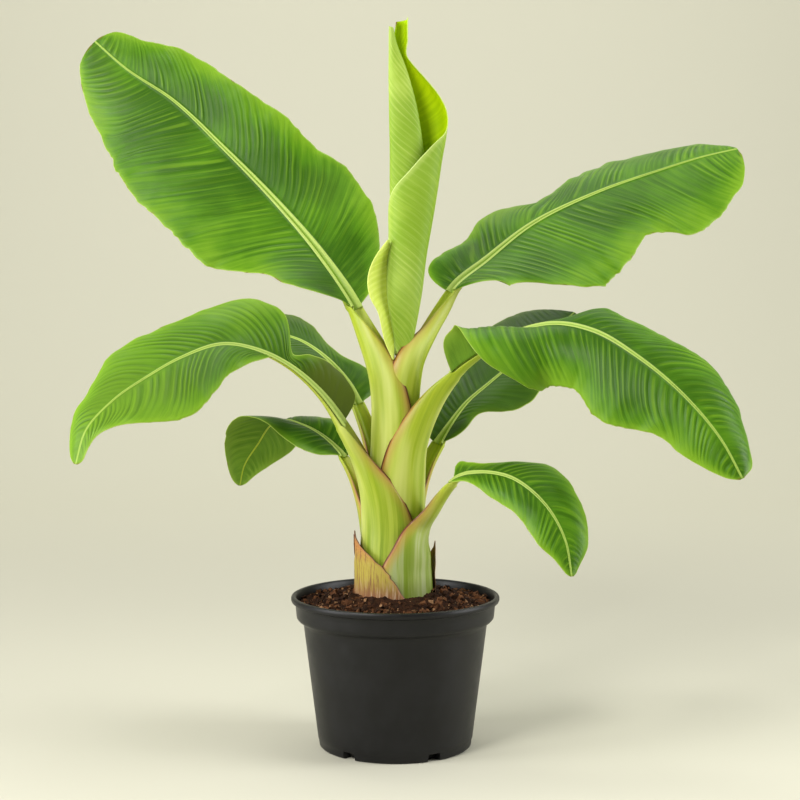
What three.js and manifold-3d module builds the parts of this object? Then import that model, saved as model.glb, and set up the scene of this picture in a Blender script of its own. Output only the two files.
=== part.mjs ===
// Banana plant in a round nursery pot, in millimetres.
// +Z is up, the plant is seen from -Y, and the origin is the centre of the pot's underside.
import * as THREE from 'three';
import { mergeVertices } from 'three/addons/utils/BufferGeometryUtils.js';
import Module from 'manifold-3d';

// ---- driving dimensions ----

const GAP = 0.35;                      // clearance between touching pieces

const POT = {
  height: 175,
  lip: 120,                            // outer radius of the rolled lip
  collar: 114,                         // outer radius of the band under the lip
  shoulder: 106,                       // outer radius of the body under the band
  foot: 88,                            // outer radius at the floor
  wall: 2.4,
  floor: 10,                           // height of the inner floor
  sides: 48,
};
const NOTCH = { width: 15, height: 9, depth: 9, angles: [-126, -60, 0, 60, 120, 180] };
const SOIL = { edge: 166, crown: 177, crownRadius: 52, sides: 36 };

// Rings of the stem: height, centre x, centre y, half width, half depth.
const STEM_RINGS = [
  [SOIL.crown + GAP, 0, 9, 44, 43],
  [230, 0, 9, 41, 39],
  [262, 0, 12, 37, 34],
  [300, 2, 14, 32, 29],
  [340, 2, 15, 28, 27],
  [380, 3, 16, 22, 21],
  [415, 3, 17, 14, 14],
  [440, 3, 17, 7, 7],
];

// Rings of the youngest leaf, still rolled up, which stands in the middle.
const ROLL_RINGS = [
  [450, 9, 15, 7, 7],
  [479, 9.5, 15, 12.5, 9],
  [508, 10, 15, 17, 13],
  [586, 16.5, 15, 22.5, 16],
  [660, 22.5, 15, 28.5, 18],
  [717, 27, 15, 33, 18],
  [731, 25.5, 15, 32.5, 17.5],
  [748, 21.5, 15, 27.5, 16],
  [766, 14, 15, 20, 13],
  [783, 6, 15, 12.5, 9],
  [810, 5, 15, 9, 8],
  [834, 6.5, 15, 8, 7],
];
const FLAP_RINGS = [
  [446, -4, 1, 4, 3],
  [472, -10, -1, 9, 3.5],
  [512, -19, -2, 9, 4],
  [538, -22, -2, 10, 4],
  [562, -17, -2, 7, 3.5],
  [580, -9, -1, 2.5, 2.5],
];

// The leaves. rib runs from the foot of the sheath, on the stem's axis, to the tip of the blade,
// and the blade starts at point number base. radius is that of the sheath and stalk at each rib
// point up to base. facing gives the direction of the upper face at stations along the blade,
// with -1 at the foot of the sheath. Each half of the blade has its half widths at stations, and
// how far its sections fold up from the rib and then curl, in degrees at even stations.
const LEAVES = [
  {
    name: 'low_right', base: 6, splitAt: 0.45,
    rib: [
      [0, 8, 165], [1, 4, 215], [9, -2, 243], [24, -8, 264], [39, -20, 279], [51, -30, 296],
      [63, -40, 311], [78, -52, 320], [92, -62, 323], [105, -74, 324], [128, -92, 320],
      [149, -108, 307], [169, -124, 285], [182, -138, 258], [188, -150, 221],
    ],
    radius: [44, 41, 34, 21, 13.5, 10.5, 9],
    facing: [
      [-1, -0.82, 0.57, 0], [-0.4, -0.8, 0.4, 0.4], [-0.15, -0.7, 0.1, 0.7], [0, -0.5, 0, 0.85],
      [0.2, -0.2, -0.5, 0.85], [0.45, 0, -0.8, 0.6], [0.7, 0.1, -0.9, 0.4], [1, 0.3, -0.9, 0.2],
    ],
    right: {
      widths: [
        [0, 6], [0.06, 12], [0.12, 14], [0.2, 20], [0.3, 29], [0.38, 33], [0.46, 32], [0.55, 31],
        [0.65, 32], [0.75, 31], [0.84, 27], [0.92, 15], [1, 4],
      ],
      fold: [10, 5, 5, 5],
      curl: [-60, -40, -30, -30],
    },
    left: {
      widths: [
        [0, 16], [0.04, 23], [0.1, 17], [0.16, 13], [0.24, 17], [0.32, 28], [0.4, 41], [0.48, 49],
        [0.56, 50], [0.65, 46], [0.74, 39], [0.84, 29], [0.92, 19], [1, 5],
      ],
      fold: [48, 12, 8, 5],
      curl: [-20, -45, -60, -60],
    },
  },
  {
    name: 'mid_left', base: 5, splitAt: 0.5,
    rib: [
      [0, 10, 165], [-1, 9, 230], [-6, 6, 262], [-15, 1, 295], [-33, -5, 332], [-57, -12, 372],
      [-85, -22, 410], [-122, -40, 443], [-153, -58, 459], [-188, -82, 466], [-231, -108, 452],
      [-265, -130, 432], [-298, -152, 408], [-323, -170, 378], [-332, -180, 344],
    ],
    radius: [42, 40, 34, 27, 17.5, 12],
    facing: [
      [-1, 0.87, 0.5, 0], [-0.4, 0.85, 0.35, 0.3], [-0.1, 0.7, -0.1, 0.65], [0.1, 0.5, -0.4, 0.75],
      [0.35, 0.2, -0.6, 0.75], [0.6, -0.15, -0.65, 0.7], [1, -0.5, -0.7, 0.5],
    ],
    right: {
      widths: [
        [0, 14], [0.03, 30], [0.08, 37], [0.14, 36], [0.2, 27], [0.245, 16], [0.29, 52], [0.34, 64],
        [0.42, 60], [0.5, 51], [0.6, 56], [0.7, 64], [0.8, 42], [0.9, 29], [1, 8],
      ],
      fold: [70, 60, 25, 15, 10],
      curl: [-10, -50, -40, -40, -40],
    },
    left: {
      widths: [
        [0.3, 8], [0.36, 20], [0.42, 34], [0.5, 48], [0.6, 68], [0.7, 75], [0.78, 58], [0.86, 30],
        [0.93, 14], [1, 7],
      ],
      fold: [0, 8, 8, 5, 5],
      curl: [-20, -30, -30, -30, -30],
    },
  },
  {
    name: 'mid_right', base: 6, splitAt: 0.5,
    rib: [
      [0, 14, 165], [2, 16, 261], [3, 11, 310], [11, 6, 350], [30, 0, 387], [48, -5, 413],
      [64, -10, 431], [98, -19, 457], [133, -38, 477], [173, -60, 488], [216, -90, 481],
      [260, -122, 454], [305, -152, 414], [342, -178, 366], [360, -190, 330],
    ],
    radius: [36, 33, 32, 27, 20, 15.5, 12.5],
    facing: [
      [-1, -0.77, 0.64, 0], [-0.35, -0.8, 0.35, 0.3], [0, -0.7, 0.15, 0.7], [0.15, -0.5, -0.2, 0.8],
      [0.3, -0.3, -0.55, 0.8], [0.5, -0.17, -0.85, 0.5], [1, -0.1, -0.87, 0.47],
    ],
    right: {
      widths: [
        [0, 16], [0.03, 38], [0.08, 50], [0.13, 67], [0.18, 99], [0.26, 106], [0.34, 84], [0.42, 71],
        [0.5, 70], [0.58, 80], [0.68, 72], [0.78, 50], [0.88, 42], [0.95, 26], [1, 8],
      ],
      fold: [82, 84, 78, 34, 10, 0, 0, 0, 0, 0, 0],
      curl: [-8, -30, -165, -135, -75, -45, -32, -30, -30, -30, -30],
    },
    left: {
      widths: [
        [0, 14], [0.1, 22], [0.2, 22], [0.28, 24], [0.34, 36], [0.4, 48], [0.5, 52], [0.6, 64],
        [0.7, 82], [0.8, 72], [0.9, 46], [0.96, 26], [1, 8],
      ],
      fold: [30, 5, -25, -18, 17, 12, 8, 3, 0, 0, 0],
      curl: [-20, -70, -80, -85, -85],
    },
  },
  {
    name: 'top_left', base: 5,
    rib: [
      [0, 14, 165], [2, 15, 330], [2, 16, 390], [-8, 20, 430], [-27, 29, 470], [-45, 42, 505],
      [-90, 75, 570], [-142, 105, 630], [-206, 130, 695], [-272, 155, 757], [-334, 175, 799],
      [-373, 190, 833],
    ],
    radius: [32, 31, 30, 24, 17, 11.5],
    facing: [
      [-1, 0.98, -0.17, 0], [-0.35, 0.97, 0.05, 0.2], [-0.08, 0.85, -0.25, 0.4],
      [0.06, 0.55, -0.7, 0.35], [0.2, 0.3, -0.95, 0.25], [0.5, 0.1, -1, 0.2], [1, 0, -1, 0.3],
    ],
    right: {
      widths: [
        [0, 14], [0.04, 36], [0.1, 61], [0.2, 87], [0.3, 94], [0.4, 83], [0.5, 81], [0.6, 72],
        [0.7, 64], [0.8, 58], [0.9, 43], [0.97, 31], [1, 20],
      ],
      fold: [25, 10, 8, 6, 5],
      curl: [-20, -15, -10, -10, -10],
    },
    left: {
      widths: [
        [0, 22], [0.05, 50], [0.1, 67], [0.18, 76], [0.24, 96], [0.32, 116], [0.42, 121], [0.5, 119],
        [0.6, 121], [0.7, 114], [0.76, 103], [0.82, 91], [0.9, 65], [0.96, 44], [1, 26],
      ],
      fold: [15, 8, 6, 6, 5],
      curl: [-10, -10, -10, -12, -15],
    },
  },
  {
    name: 'top_right', base: 6,
    rib: [
      [0, 15, 165], [2, 16, 350], [4, 17, 400], [10, 20, 440], [35, 36, 478], [54, 52, 508],
      [65, 62, 525], [110, 95, 563], [165, 130, 605], [247, 165, 645], [331, 195, 675],
      [388, 212, 693], [433, 228, 704],
    ],
    radius: [26, 25, 24, 23, 14.5, 12.5, 10],
    facing: [
      [-1, -0.95, -0.1, 0], [-0.3, -0.9, 0.1, 0.3], [-0.06, -0.8, -0.3, 0.5],
      [0.1, -0.45, -0.75, 0.45], [0.5, -0.2, -0.8, 0.6], [1, 0, -0.8, 0.65],
    ],
    right: {
      widths: [
        [0, 64], [0.03, 76], [0.06, 72], [0.1, 62], [0.14, 66], [0.18, 92], [0.24, 118], [0.3, 128],
        [0.4, 125], [0.5, 108], [0.58, 90], [0.64, 94], [0.7, 109], [0.8, 100], [0.9, 71], [0.97, 44],
        [1, 18],
      ],
      fold: [20, 8, 5, 5, 5],
      curl: [-20, -15, -15, -15, -15],
    },
    left: {
      widths: [
        [0, 32], [0.05, 56], [0.1, 57], [0.18, 48], [0.26, 60], [0.34, 52], [0.42, 40], [0.5, 53],
        [0.56, 66], [0.64, 76], [0.72, 75], [0.8, 67], [0.9, 48], [0.97, 28], [1, 12],
      ],
      fold: [15, 8, 0, -5, -5],
      curl: [-20, -35, -40, -50, -50],
    },
  },
  {
    name: 'back_right', base: 4,
    rib: [
      [0, 13, 165], [8, 20, 250], [22, 28, 290], [38, 38, 326], [50, 47, 346], [64, 60, 366],
      [84, 80, 390], [113, 105, 413], [146, 130, 438], [185, 165, 466], [225, 200, 497],
    ],
    radius: [37, 28, 15, 10, 9],
    facing: [
      [-1, -0.71, -0.71, 0], [-0.3, -0.6, -0.7, 0.3], [0, -0.5, -0.7, 0.5], [0.5, -0.3, -0.7, 0.7],
      [1, 0, -0.6, 0.8],
    ],
    right: {
      widths: [
        [0, 10], [0.1, 24], [0.2, 24], [0.3, 50], [0.4, 60], [0.5, 58], [0.7, 60], [0.85, 46], [1, 10],
      ],
      fold: [20, 10, 8, 5],
      curl: [-30, -30, -30, -30],
    },
    left: {
      widths: [
        [0, 20], [0.15, 42], [0.35, 56], [0.6, 74], [0.8, 76], [0.9, 63], [0.96, 44], [1, 16],
      ],
      fold: [20, 10, 8, 5],
      curl: [-30, -30, -30, -30],
    },
  },
  {
    name: 'back_left', base: 4,
    rib: [
      [0, 13, 165], [-3, 18, 270], [-14, 28, 316], [-28, 42, 354], [-44, 56, 392], [-54, 66, 412],
      [-69, 82, 431], [-91, 103, 450], [-121, 130, 466], [-165, 160, 472], [-214, 190, 457],
      [-254, 205, 431],
    ],
    radius: [36, 30, 20, 12, 9],
    facing: [
      [-1, 0.71, -0.71, 0], [-0.3, 0.6, -0.7, 0.3], [0, 0.5, -0.7, 0.5], [0.5, 0.2, -0.7, 0.7],
      [1, -0.2, -0.5, 0.8],
    ],
    right: {
      widths: [
        [0, 16], [0.04, 30], [0.1, 35], [0.16, 29], [0.22, 20], [0.3, 18], [0.4, 24], [0.5, 36],
        [0.6, 46], [0.75, 42], [0.9, 28], [1, 8],
      ],
      fold: [20, 10, 8, 5],
      curl: [-10, -10, -30, -30],
    },
    left: {
      widths: [
        [0, 8], [0.2, 24], [0.4, 36], [0.6, 42], [0.8, 40], [0.92, 24], [1, 8],
      ],
      fold: [20, 10, 8, 5],
      curl: [-30, -30, -30, -30],
    },
  },
  {
    name: 'low_left', base: 5, splitAt: 0.5,
    rib: [
      [0, 12, 165], [-8, 14, 215], [-24, 18, 250], [-38, 20, 283], [-50, 28, 314], [-60, 38, 331],
      [-69, 48, 340], [-83, 60, 351], [-97, 72, 359], [-113, 85, 365], [-133, 100, 369],
      [-150, 112, 363], [-168, 122, 338], [-186, 128, 309], [-191, 130, 286],
    ],
    radius: [40, 32, 18, 9, 7.5, 7],
    facing: [
      [-1, 0.97, -0.26, 0], [-0.3, 0.8, -0.35, 0.4], [0, 0.5, -0.5, 0.7], [0.35, 0.2, -0.35, 1],
      [0.5, -0.1, 0, 1], [0.65, -0.5, 0.5, 0.6], [1, -0.6, 0.8, 0.1],
    ],
    right: {
      widths: [
        [0, 14], [0.1, 30], [0.2, 34], [0.32, 30], [0.42, 42], [0.55, 54], [0.66, 54], [0.8, 36],
        [0.9, 24], [1, 5],
      ],
      fold: [40, 35, 10, 0, 0],
      curl: [-20, -30, -40, -30, -30],
    },
    left: {
      widths: [
        [0, 8], [0.1, 26], [0.25, 34], [0.4, 38], [0.5, 47], [0.6, 54], [0.7, 54], [0.8, 43],
        [0.9, 25], [1, 5],
      ],
      fold: [10, 0, 26, 25, 5],
      curl: [-50, -50, -30, -30, -30],
    },
  },
];
const BLADE = { rows: 12, columns: 4, ribThickness: 5, edgeThickness: 2, minWidth: 3, veinSlant: 0.17 };
const STALK = { rings: 10, sides: 10, hollow: 0.45 };

// Old, dried sheaths round the foot of the stem: where each one stands round the stem, in
// degrees from +X, half the angle that it covers, its height and the lean of its tip.
const OLD_SHEATHS = [
  { name: 'old_sheath_front', angle: -122, half: 34, height: 69, lean: -22 },
  { name: 'old_sheath_right', angle: -20, half: 22, height: 55, lean: 4 },
  { name: 'old_sheath_left', angle: 178, half: 20, height: 60, lean: 4 },
];

const COLOURS = {
  pot: 0x26272a,
  soil: 0x3b2417,
  sheath: 0xa9bf58,
  stalk: 0xa5c64e,
  blade: 0x4c8a2c,
  roll: 0x9cc653,
  oldSheath: 0x9a6a3c,
};

// ---- small helpers ----

const wasm = await Module();
wasm.setup();

const plant = new THREE.Group();

function addMesh(name, geometry, colour, roughness) {
  geometry.computeVertexNormals();
  const material = new THREE.MeshStandardMaterial({ color: colour, roughness, metalness: 0 });
  const mesh = new THREE.Mesh(geometry, material);
  mesh.name = name;
  plant.add(mesh);
}

function toSolid(geometry) {
  const bare = geometry.clone();
  bare.deleteAttribute('normal');
  bare.deleteAttribute('uv');
  const merged = mergeVertices(bare, 1e-4);
  return new wasm.Manifold(new wasm.Mesh({
    numProp: 3,
    vertProperties: new Float32Array(merged.attributes.position.array),
    triVerts: new Uint32Array(merged.index.array),
  }));
}

// The largest body of a solid, as a geometry: slivers left by a cut are dropped.
function toGeometry(solid) {
  const bodies = solid.decompose();
  bodies.sort((a, b) => b.volume() - a.volume());
  const mesh = bodies[0].getMesh();
  const geometry = new THREE.BufferGeometry();
  geometry.setAttribute('position', new THREE.BufferAttribute(new Float32Array(mesh.vertProperties), 3));
  geometry.setIndex(new THREE.BufferAttribute(new Uint32Array(mesh.triVerts), 1));
  return geometry;
}

function fromGrid(points, triangles) {
  const geometry = new THREE.BufferGeometry();
  const flat = points.flatMap((p) => [p.x, p.y, p.z]);
  geometry.setAttribute('position', new THREE.BufferAttribute(new Float32Array(flat), 3));
  geometry.setIndex(triangles);
  return geometry;
}

// A closed skin over rings of equal count, with a fan at each end.
function loftRings(rings) {
  const sides = rings[0].length;
  const points = rings.flat();
  const triangles = [];
  for (let i = 0; i < rings.length - 1; i += 1) {
    for (let j = 0; j < sides; j += 1) {
      const a = i * sides + j;
      const b = i * sides + ((j + 1) % sides);
      triangles.push(a, b, b + sides, a, b + sides, a + sides);
    }
  }
  const last = (rings.length - 1) * sides;
  for (let j = 1; j < sides - 1; j += 1) {
    triangles.push(0, j + 1, j);
    triangles.push(last, last + j, last + j + 1);
  }
  return fromGrid(points, triangles);
}

// Upright body through level elliptic rings.
function loftUpright(table, sides, grow) {
  const rings = table.map(([z, cx, cy, rx, ry]) => {
    const ring = [];
    for (let j = 0; j < sides; j += 1) {
      const angle = (j / sides) * 2 * Math.PI;
      const x = cx + (rx + grow) * Math.cos(angle);
      const y = cy + (ry + grow) * Math.sin(angle);
      ring.push(new THREE.Vector3(x, y, z));
    }
    return ring;
  });
  return loftRings(rings);
}

// A closed sheet: the grid of points is thickened half to each side along its normals.
function thicken(grid, normals, thickness) {
  const rows = grid.length;
  const columns = grid[0].length;
  const points = [];
  for (const side of [1, -1]) {
    for (let i = 0; i < rows; i += 1) {
      for (let j = 0; j < columns; j += 1) {
        const shift = 0.5 * side * thickness(i, j);
        points.push(grid[i][j].clone().addScaledVector(normals[i][j], shift));
      }
    }
  }
  const under = rows * columns;
  const triangles = [];
  for (let i = 0; i < rows - 1; i += 1) {
    for (let j = 0; j < columns - 1; j += 1) {
      const a = i * columns + j;
      const b = a + columns;
      triangles.push(a, b + 1, b, a, a + 1, b + 1);
      triangles.push(under + a, under + b, under + b + 1, under + a, under + b + 1, under + a + 1);
    }
  }
  const edge = [];
  for (let j = 0; j < columns - 1; j += 1) edge.push(j);
  for (let i = 0; i < rows - 1; i += 1) edge.push(i * columns + columns - 1);
  for (let j = columns - 1; j > 0; j -= 1) edge.push((rows - 1) * columns + j);
  for (let i = rows - 1; i > 0; i -= 1) edge.push(i * columns);
  for (let k = 0; k < edge.length; k += 1) {
    const a = edge[k];
    const b = edge[(k + 1) % edge.length];
    triangles.push(a, under + b, b, a, under + a, under + b);
  }
  return fromGrid(points, triangles);
}

// Smooth curve through numbers or lists of numbers at rising stations.
function through(stations, values, x) {
  const count = stations.length;
  const slopes = [];
  for (let i = 0; i < count; i += 1) {
    const lo = Math.max(0, i - 1);
    const hi = Math.min(count - 1, i + 1);
    const before = i > 0 ? (values[i] - values[lo]) / (stations[i] - stations[lo]) : 0;
    const after = i < count - 1 ? (values[hi] - values[i]) / (stations[hi] - stations[i]) : 0;
    if (i === 0) slopes.push(after);
    else if (i === count - 1) slopes.push(before);
    else {
      const h0 = stations[i] - stations[lo];
      const h1 = stations[hi] - stations[i];
      slopes.push((before * h1 + after * h0) / (h0 + h1));
    }
  }
  let i = 0;
  while (i < count - 2 && x > stations[i + 1]) i += 1;
  const h = stations[i + 1] - stations[i];
  const t = THREE.MathUtils.clamp((x - stations[i]) / h, 0, 1);
  const t2 = t * t;
  const t3 = t2 * t;
  return (2 * t3 - 3 * t2 + 1) * values[i] + (t3 - 2 * t2 + t) * h * slopes[i]
    + (3 * t2 - 2 * t3) * values[i + 1] + (t3 - t2) * h * slopes[i + 1];
}

// ---- leaf shape ----

const BASE_ROUND = 0.05;               // share of the blade over which its base rounds off
const TIP_ROUND = 0.02;

class Rib {
  constructor(leaf) {
    const knots = [0];
    for (let i = 1; i < leaf.rib.length; i += 1) {
      const a = new THREE.Vector3(...leaf.rib[i - 1]);
      knots.push(knots[i - 1] + a.distanceTo(new THREE.Vector3(...leaf.rib[i])));
    }
    const axes = [0, 1, 2].map((k) => leaf.rib.map((p) => p[k]));
    const at = (u) => new THREE.Vector3(...axes.map((axis) => through(knots, axis, u)));
    this.leaf = leaf;
    this.total = knots[knots.length - 1];
    this.base = knots[leaf.base];
    this.stalkStations = knots.slice(0, leaf.base + 1).map((u) => u / this.base - 1);
    this.at = at;
  }

  // Place and axes at x: 0 to 1 along the blade, and -1 to 0 up the stalk.
  frame(x) {
    const u = x >= 0 ? this.base + x * (this.total - this.base) : this.base * (1 + x);
    const step = 6;
    const here = this.at(u);
    const ahead = this.at(Math.min(u + step, this.total));
    const tangent = ahead.sub(this.at(Math.max(u - step, 0))).normalize();
    const stations = this.leaf.facing.map((row) => row[0]);
    const facing = [1, 2, 3].map((k) => through(stations, this.leaf.facing.map((row) => row[k]), x));
    const normal = new THREE.Vector3(...facing);
    normal.addScaledVector(tangent, -normal.dot(tangent)).normalize();
    const side = new THREE.Vector3().crossVectors(tangent, normal);
    return { here, tangent, normal, side };
  }
}

function halfWidth(half, x) {
  const stations = half.widths.map((pair) => pair[0]);
  const width = through(stations, half.widths.map((pair) => pair[1]), x);
  const up = THREE.MathUtils.clamp(1 - (x - stations[0]) / BASE_ROUND, 0, 1);
  const down = THREE.MathUtils.clamp((x - 1 + TIP_ROUND) / TIP_ROUND, 0, 1);
  return Math.max(BLADE.minWidth * (1 - 0.6 * x), width * Math.sqrt((1 - up * up) * (1 - 0.9 * down * down)));
}

// An angle, in radians, from a list of degrees at even stations.
function bendAt(list, x) {
  const stations = list.map((value, i) => i / (list.length - 1));
  return THREE.MathUtils.degToRad(through(stations, list, x));
}

// A point of the blade: v runs from -1 at the left edge over 0 at the rib to 1 at the right edge.
function bladePoint(rib, s, v) {
  const share = Math.abs(v);
  const x = s + BLADE.veinSlant * 4 * s * (1 - s) * share ** 1.2;
  const { here, normal, side } = rib.frame(x);
  const half = v < 0 ? rib.leaf.left : rib.leaf.right;
  const sign = Math.sign(v);
  const width = halfWidth(half, x);
  const fold = bendAt(half.fold, x);
  const curl = bendAt(half.curl, x);
  const steps = 12;
  let across = 0;
  let rise = 0;
  for (let k = 0; k < steps; k += 1) {
    const angle = fold + curl * share * ((k + 0.5) / steps);
    across += (Math.cos(angle) * width * share) / steps;
    rise += (Math.sin(angle) * width * share) / steps;
  }
  const point = here.clone().addScaledVector(side, sign * across).addScaledVector(normal, rise);
  const bend = v === 0 ? 0 : fold + curl * share;
  const up = normal.clone().multiplyScalar(Math.cos(bend)).addScaledVector(side, -sign * Math.sin(bend));
  return { point, up };
}

function bladeGeometry(rib, from, to) {
  const rows = Math.max(4, Math.round(BLADE.rows * (to - from)) + 1);
  const grid = [];
  const normals = [];
  for (let i = 0; i < rows; i += 1) {
    const s = from + ((to - from) * i) / (rows - 1);
    const row = [];
    const ups = [];
    for (let j = -BLADE.columns; j <= BLADE.columns; j += 1) {
      const { point, up } = bladePoint(rib, s, j / BLADE.columns);
      row.push(point);
      ups.push(up);
    }
    grid.push(row);
    normals.push(ups);
  }
  const thickness = (i, j) => {
    const share = Math.abs(j - BLADE.columns) / BLADE.columns;
    return THREE.MathUtils.lerp(BLADE.ribThickness, BLADE.edgeThickness, Math.min(1, share * 2));
  };
  return thicken(grid, normals, thickness);
}

// The solid stand-in for a sheath and stalk: its back is round and its upper face is flatter.
function stalkGeometry(rib, grow) {
  const first = rib.stalkStations[1];
  const rings = [];
  for (let i = 0; i < STALK.rings; i += 1) {
    const x = first * (1 - i / (STALK.rings - 1)) - 0.004;
    const { here, normal, side } = rib.frame(x);
    const radius = through(rib.stalkStations, rib.leaf.radius, x);
    const ring = [];
    for (let j = 0; j < STALK.sides; j += 1) {
      const angle = (j / STALK.sides) * 2 * Math.PI;
      const depth = Math.sin(angle) > 0 ? STALK.hollow * radius : radius;
      ring.push(here.clone().addScaledVector(side, -(radius + grow) * Math.cos(angle))
        .addScaledVector(normal, (depth + grow) * Math.sin(angle)));
    }
    rings.push(ring);
  }
  return loftRings(rings);
}

// ---- pot and soil ----

function potGeometry() {
  const { height, lip, collar, shoulder, foot, wall, floor } = POT;
  const profile = [
    [0, 0], [foot - 3, 0], [foot, 3], [shoulder, 143], [collar - 1, 149], [collar + 1, 166],
    [lip, 168], [lip, 173], [lip - 3, height], [lip - 6, 173], [collar - 3, 166],
    [collar - 3 - wall, 149], [shoulder - wall, 141], [foot - wall + 0.6, floor], [0, floor],
  ].map(([r, z]) => new THREE.Vector2(r, z));
  const geometry = new THREE.LatheGeometry(profile, POT.sides);
  geometry.rotateX(Math.PI / 2);
  let solid = toSolid(geometry);
  for (const angle of NOTCH.angles) {
    const box = new THREE.BoxGeometry(2 * NOTCH.depth, NOTCH.width, 2 * NOTCH.height);
    box.translate(foot, 0, 0);
    box.rotateZ(THREE.MathUtils.degToRad(angle));
    solid = solid.subtract(toSolid(box));
  }
  return toGeometry(solid);
}

function soilGeometry() {
  const { shoulder, foot, wall, floor, collar } = POT;
  const play = 1;
  const profile = [
    [0, floor + GAP], [foot - wall - play, floor + GAP], [shoulder - wall - play, 141],
    [collar - 3 - wall - play, 151], [collar - 3 - wall - play, SOIL.edge - 4], [100, SOIL.edge],
    [76, SOIL.edge + 6], [SOIL.crownRadius, SOIL.crown], [0, SOIL.crown],
  ].map(([r, z]) => new THREE.Vector2(r, z));
  const geometry = new THREE.LatheGeometry(profile, SOIL.sides);
  geometry.rotateX(Math.PI / 2);
  return toGeometry(toSolid(geometry));
}

function oldSheathGeometry(sheath) {
  const rows = 6;
  const columns = 7;
  const [bottom, cx, cy, rx, ry] = STEM_RINGS[0];
  const grid = [];
  const normals = [];
  for (let i = 0; i < rows; i += 1) {
    const t = i / (rows - 1);
    const row = [];
    const ups = [];
    for (let j = 0; j < columns; j += 1) {
      const spread = (2 * j) / (columns - 1) - 1;
      const half = sheath.half * (1 - 0.88 * t);
      const angle = THREE.MathUtils.degToRad(sheath.angle + sheath.lean * t + spread * half);
      const out = new THREE.Vector3(Math.cos(angle), Math.sin(angle), 0);
      const point = new THREE.Vector3(cx, cy, bottom + 0.5 + sheath.height * t);
      point.x += out.x * (rx + 2.2);
      point.y += out.y * (ry + 2.2);
      row.push(point);
      ups.push(out);
    }
    grid.push(row);
    normals.push(ups);
  }
  return thicken(grid, normals, () => 2.4);
}

// ---- assembly ----

addMesh('pot', potGeometry(), COLOURS.pot, 0.55);
addMesh('soil', soilGeometry(), COLOURS.soil, 0.95);

const stem = toSolid(loftUpright(STEM_RINGS, 20, 0));
addMesh('pseudostem', toGeometry(stem), COLOURS.sheath, 0.5);

// Every later piece is cut by the ones before it, each grown by the gap.
const taken = [toSolid(loftUpright(STEM_RINGS, 20, GAP))];

function addCut(name, geometry, grown, colour) {
  let solid = toSolid(geometry);
  for (const other of taken) solid = solid.subtract(other);
  addMesh(name, toGeometry(solid), colour, 0.5);
  if (grown) taken.push(toSolid(grown));
}

const ribs = LEAVES.map((leaf) => new Rib(leaf));
for (const rib of ribs) {
  addCut(`stalk_${rib.leaf.name}`, stalkGeometry(rib, 0), stalkGeometry(rib, GAP), COLOURS.stalk);
}
addCut('rolled_leaf', loftUpright(ROLL_RINGS, 16, 0), loftUpright(ROLL_RINGS, 16, GAP), COLOURS.roll);
addCut('rolled_leaf_flap', loftUpright(FLAP_RINGS, 10, 0), loftUpright(FLAP_RINGS, 10, GAP), COLOURS.roll);
for (const rib of ribs) {
  const split = rib.leaf.splitAt;
  const name = `blade_${rib.leaf.name}`;
  if (split) {
    addCut(`${name}_inner`, bladeGeometry(rib, 0.01, split - 0.001), null, COLOURS.blade);
    addCut(`${name}_outer`, bladeGeometry(rib, split + 0.001, 1), null, COLOURS.blade);
  } else {
    addCut(name, bladeGeometry(rib, 0.01, 1), null, COLOURS.blade);
  }
}
for (const sheath of OLD_SHEATHS) {
  addCut(sheath.name, oldSheathGeometry(sheath), null, COLOURS.oldSheath);
}

export default plant;
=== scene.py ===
import math

import bpy
import numpy as np
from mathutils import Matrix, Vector


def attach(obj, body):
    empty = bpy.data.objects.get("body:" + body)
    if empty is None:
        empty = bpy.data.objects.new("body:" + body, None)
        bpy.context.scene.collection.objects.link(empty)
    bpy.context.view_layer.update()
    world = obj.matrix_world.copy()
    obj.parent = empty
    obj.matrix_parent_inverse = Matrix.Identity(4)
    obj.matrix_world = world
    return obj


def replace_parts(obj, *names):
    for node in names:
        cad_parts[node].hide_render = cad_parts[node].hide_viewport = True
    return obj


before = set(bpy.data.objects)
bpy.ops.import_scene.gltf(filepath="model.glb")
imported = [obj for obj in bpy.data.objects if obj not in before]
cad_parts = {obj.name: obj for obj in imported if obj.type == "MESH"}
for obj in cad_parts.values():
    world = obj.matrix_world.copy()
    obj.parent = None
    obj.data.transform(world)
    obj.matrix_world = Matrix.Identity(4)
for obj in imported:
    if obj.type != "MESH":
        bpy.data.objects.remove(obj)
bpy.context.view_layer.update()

MM = 0.001
rng = np.random.default_rng(7)

# -------- leaf data, in mm
# rib: from the foot of the sheath, on the stem's axis, to the tip of the blade.
# base: the rib's point where the blade starts. radius and spread: the trough-shaped section
# of sheath and stalk at each rib point up to base, its spread in degrees either side of the
# back. facing: the direction of the upper face at stations, -1 at the foot, 0 where the blade
# starts, 1 at the tip.
# right and left: half widths at stations along the blade, and how the section folds up from
# the rib and curls over, in degrees at even stations.
# rib_size: how thick the midrib is against the usual. painted_sheen: how much whitish sheen is painted in
# streaks on the sheath.
# painted_shade: how much darker the blade is painted, as painted shade. olive: the station up to which its
# right half is darker.
# painted_light: the stations between which the blade is painted lighter, as a painted lit patch.

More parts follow.
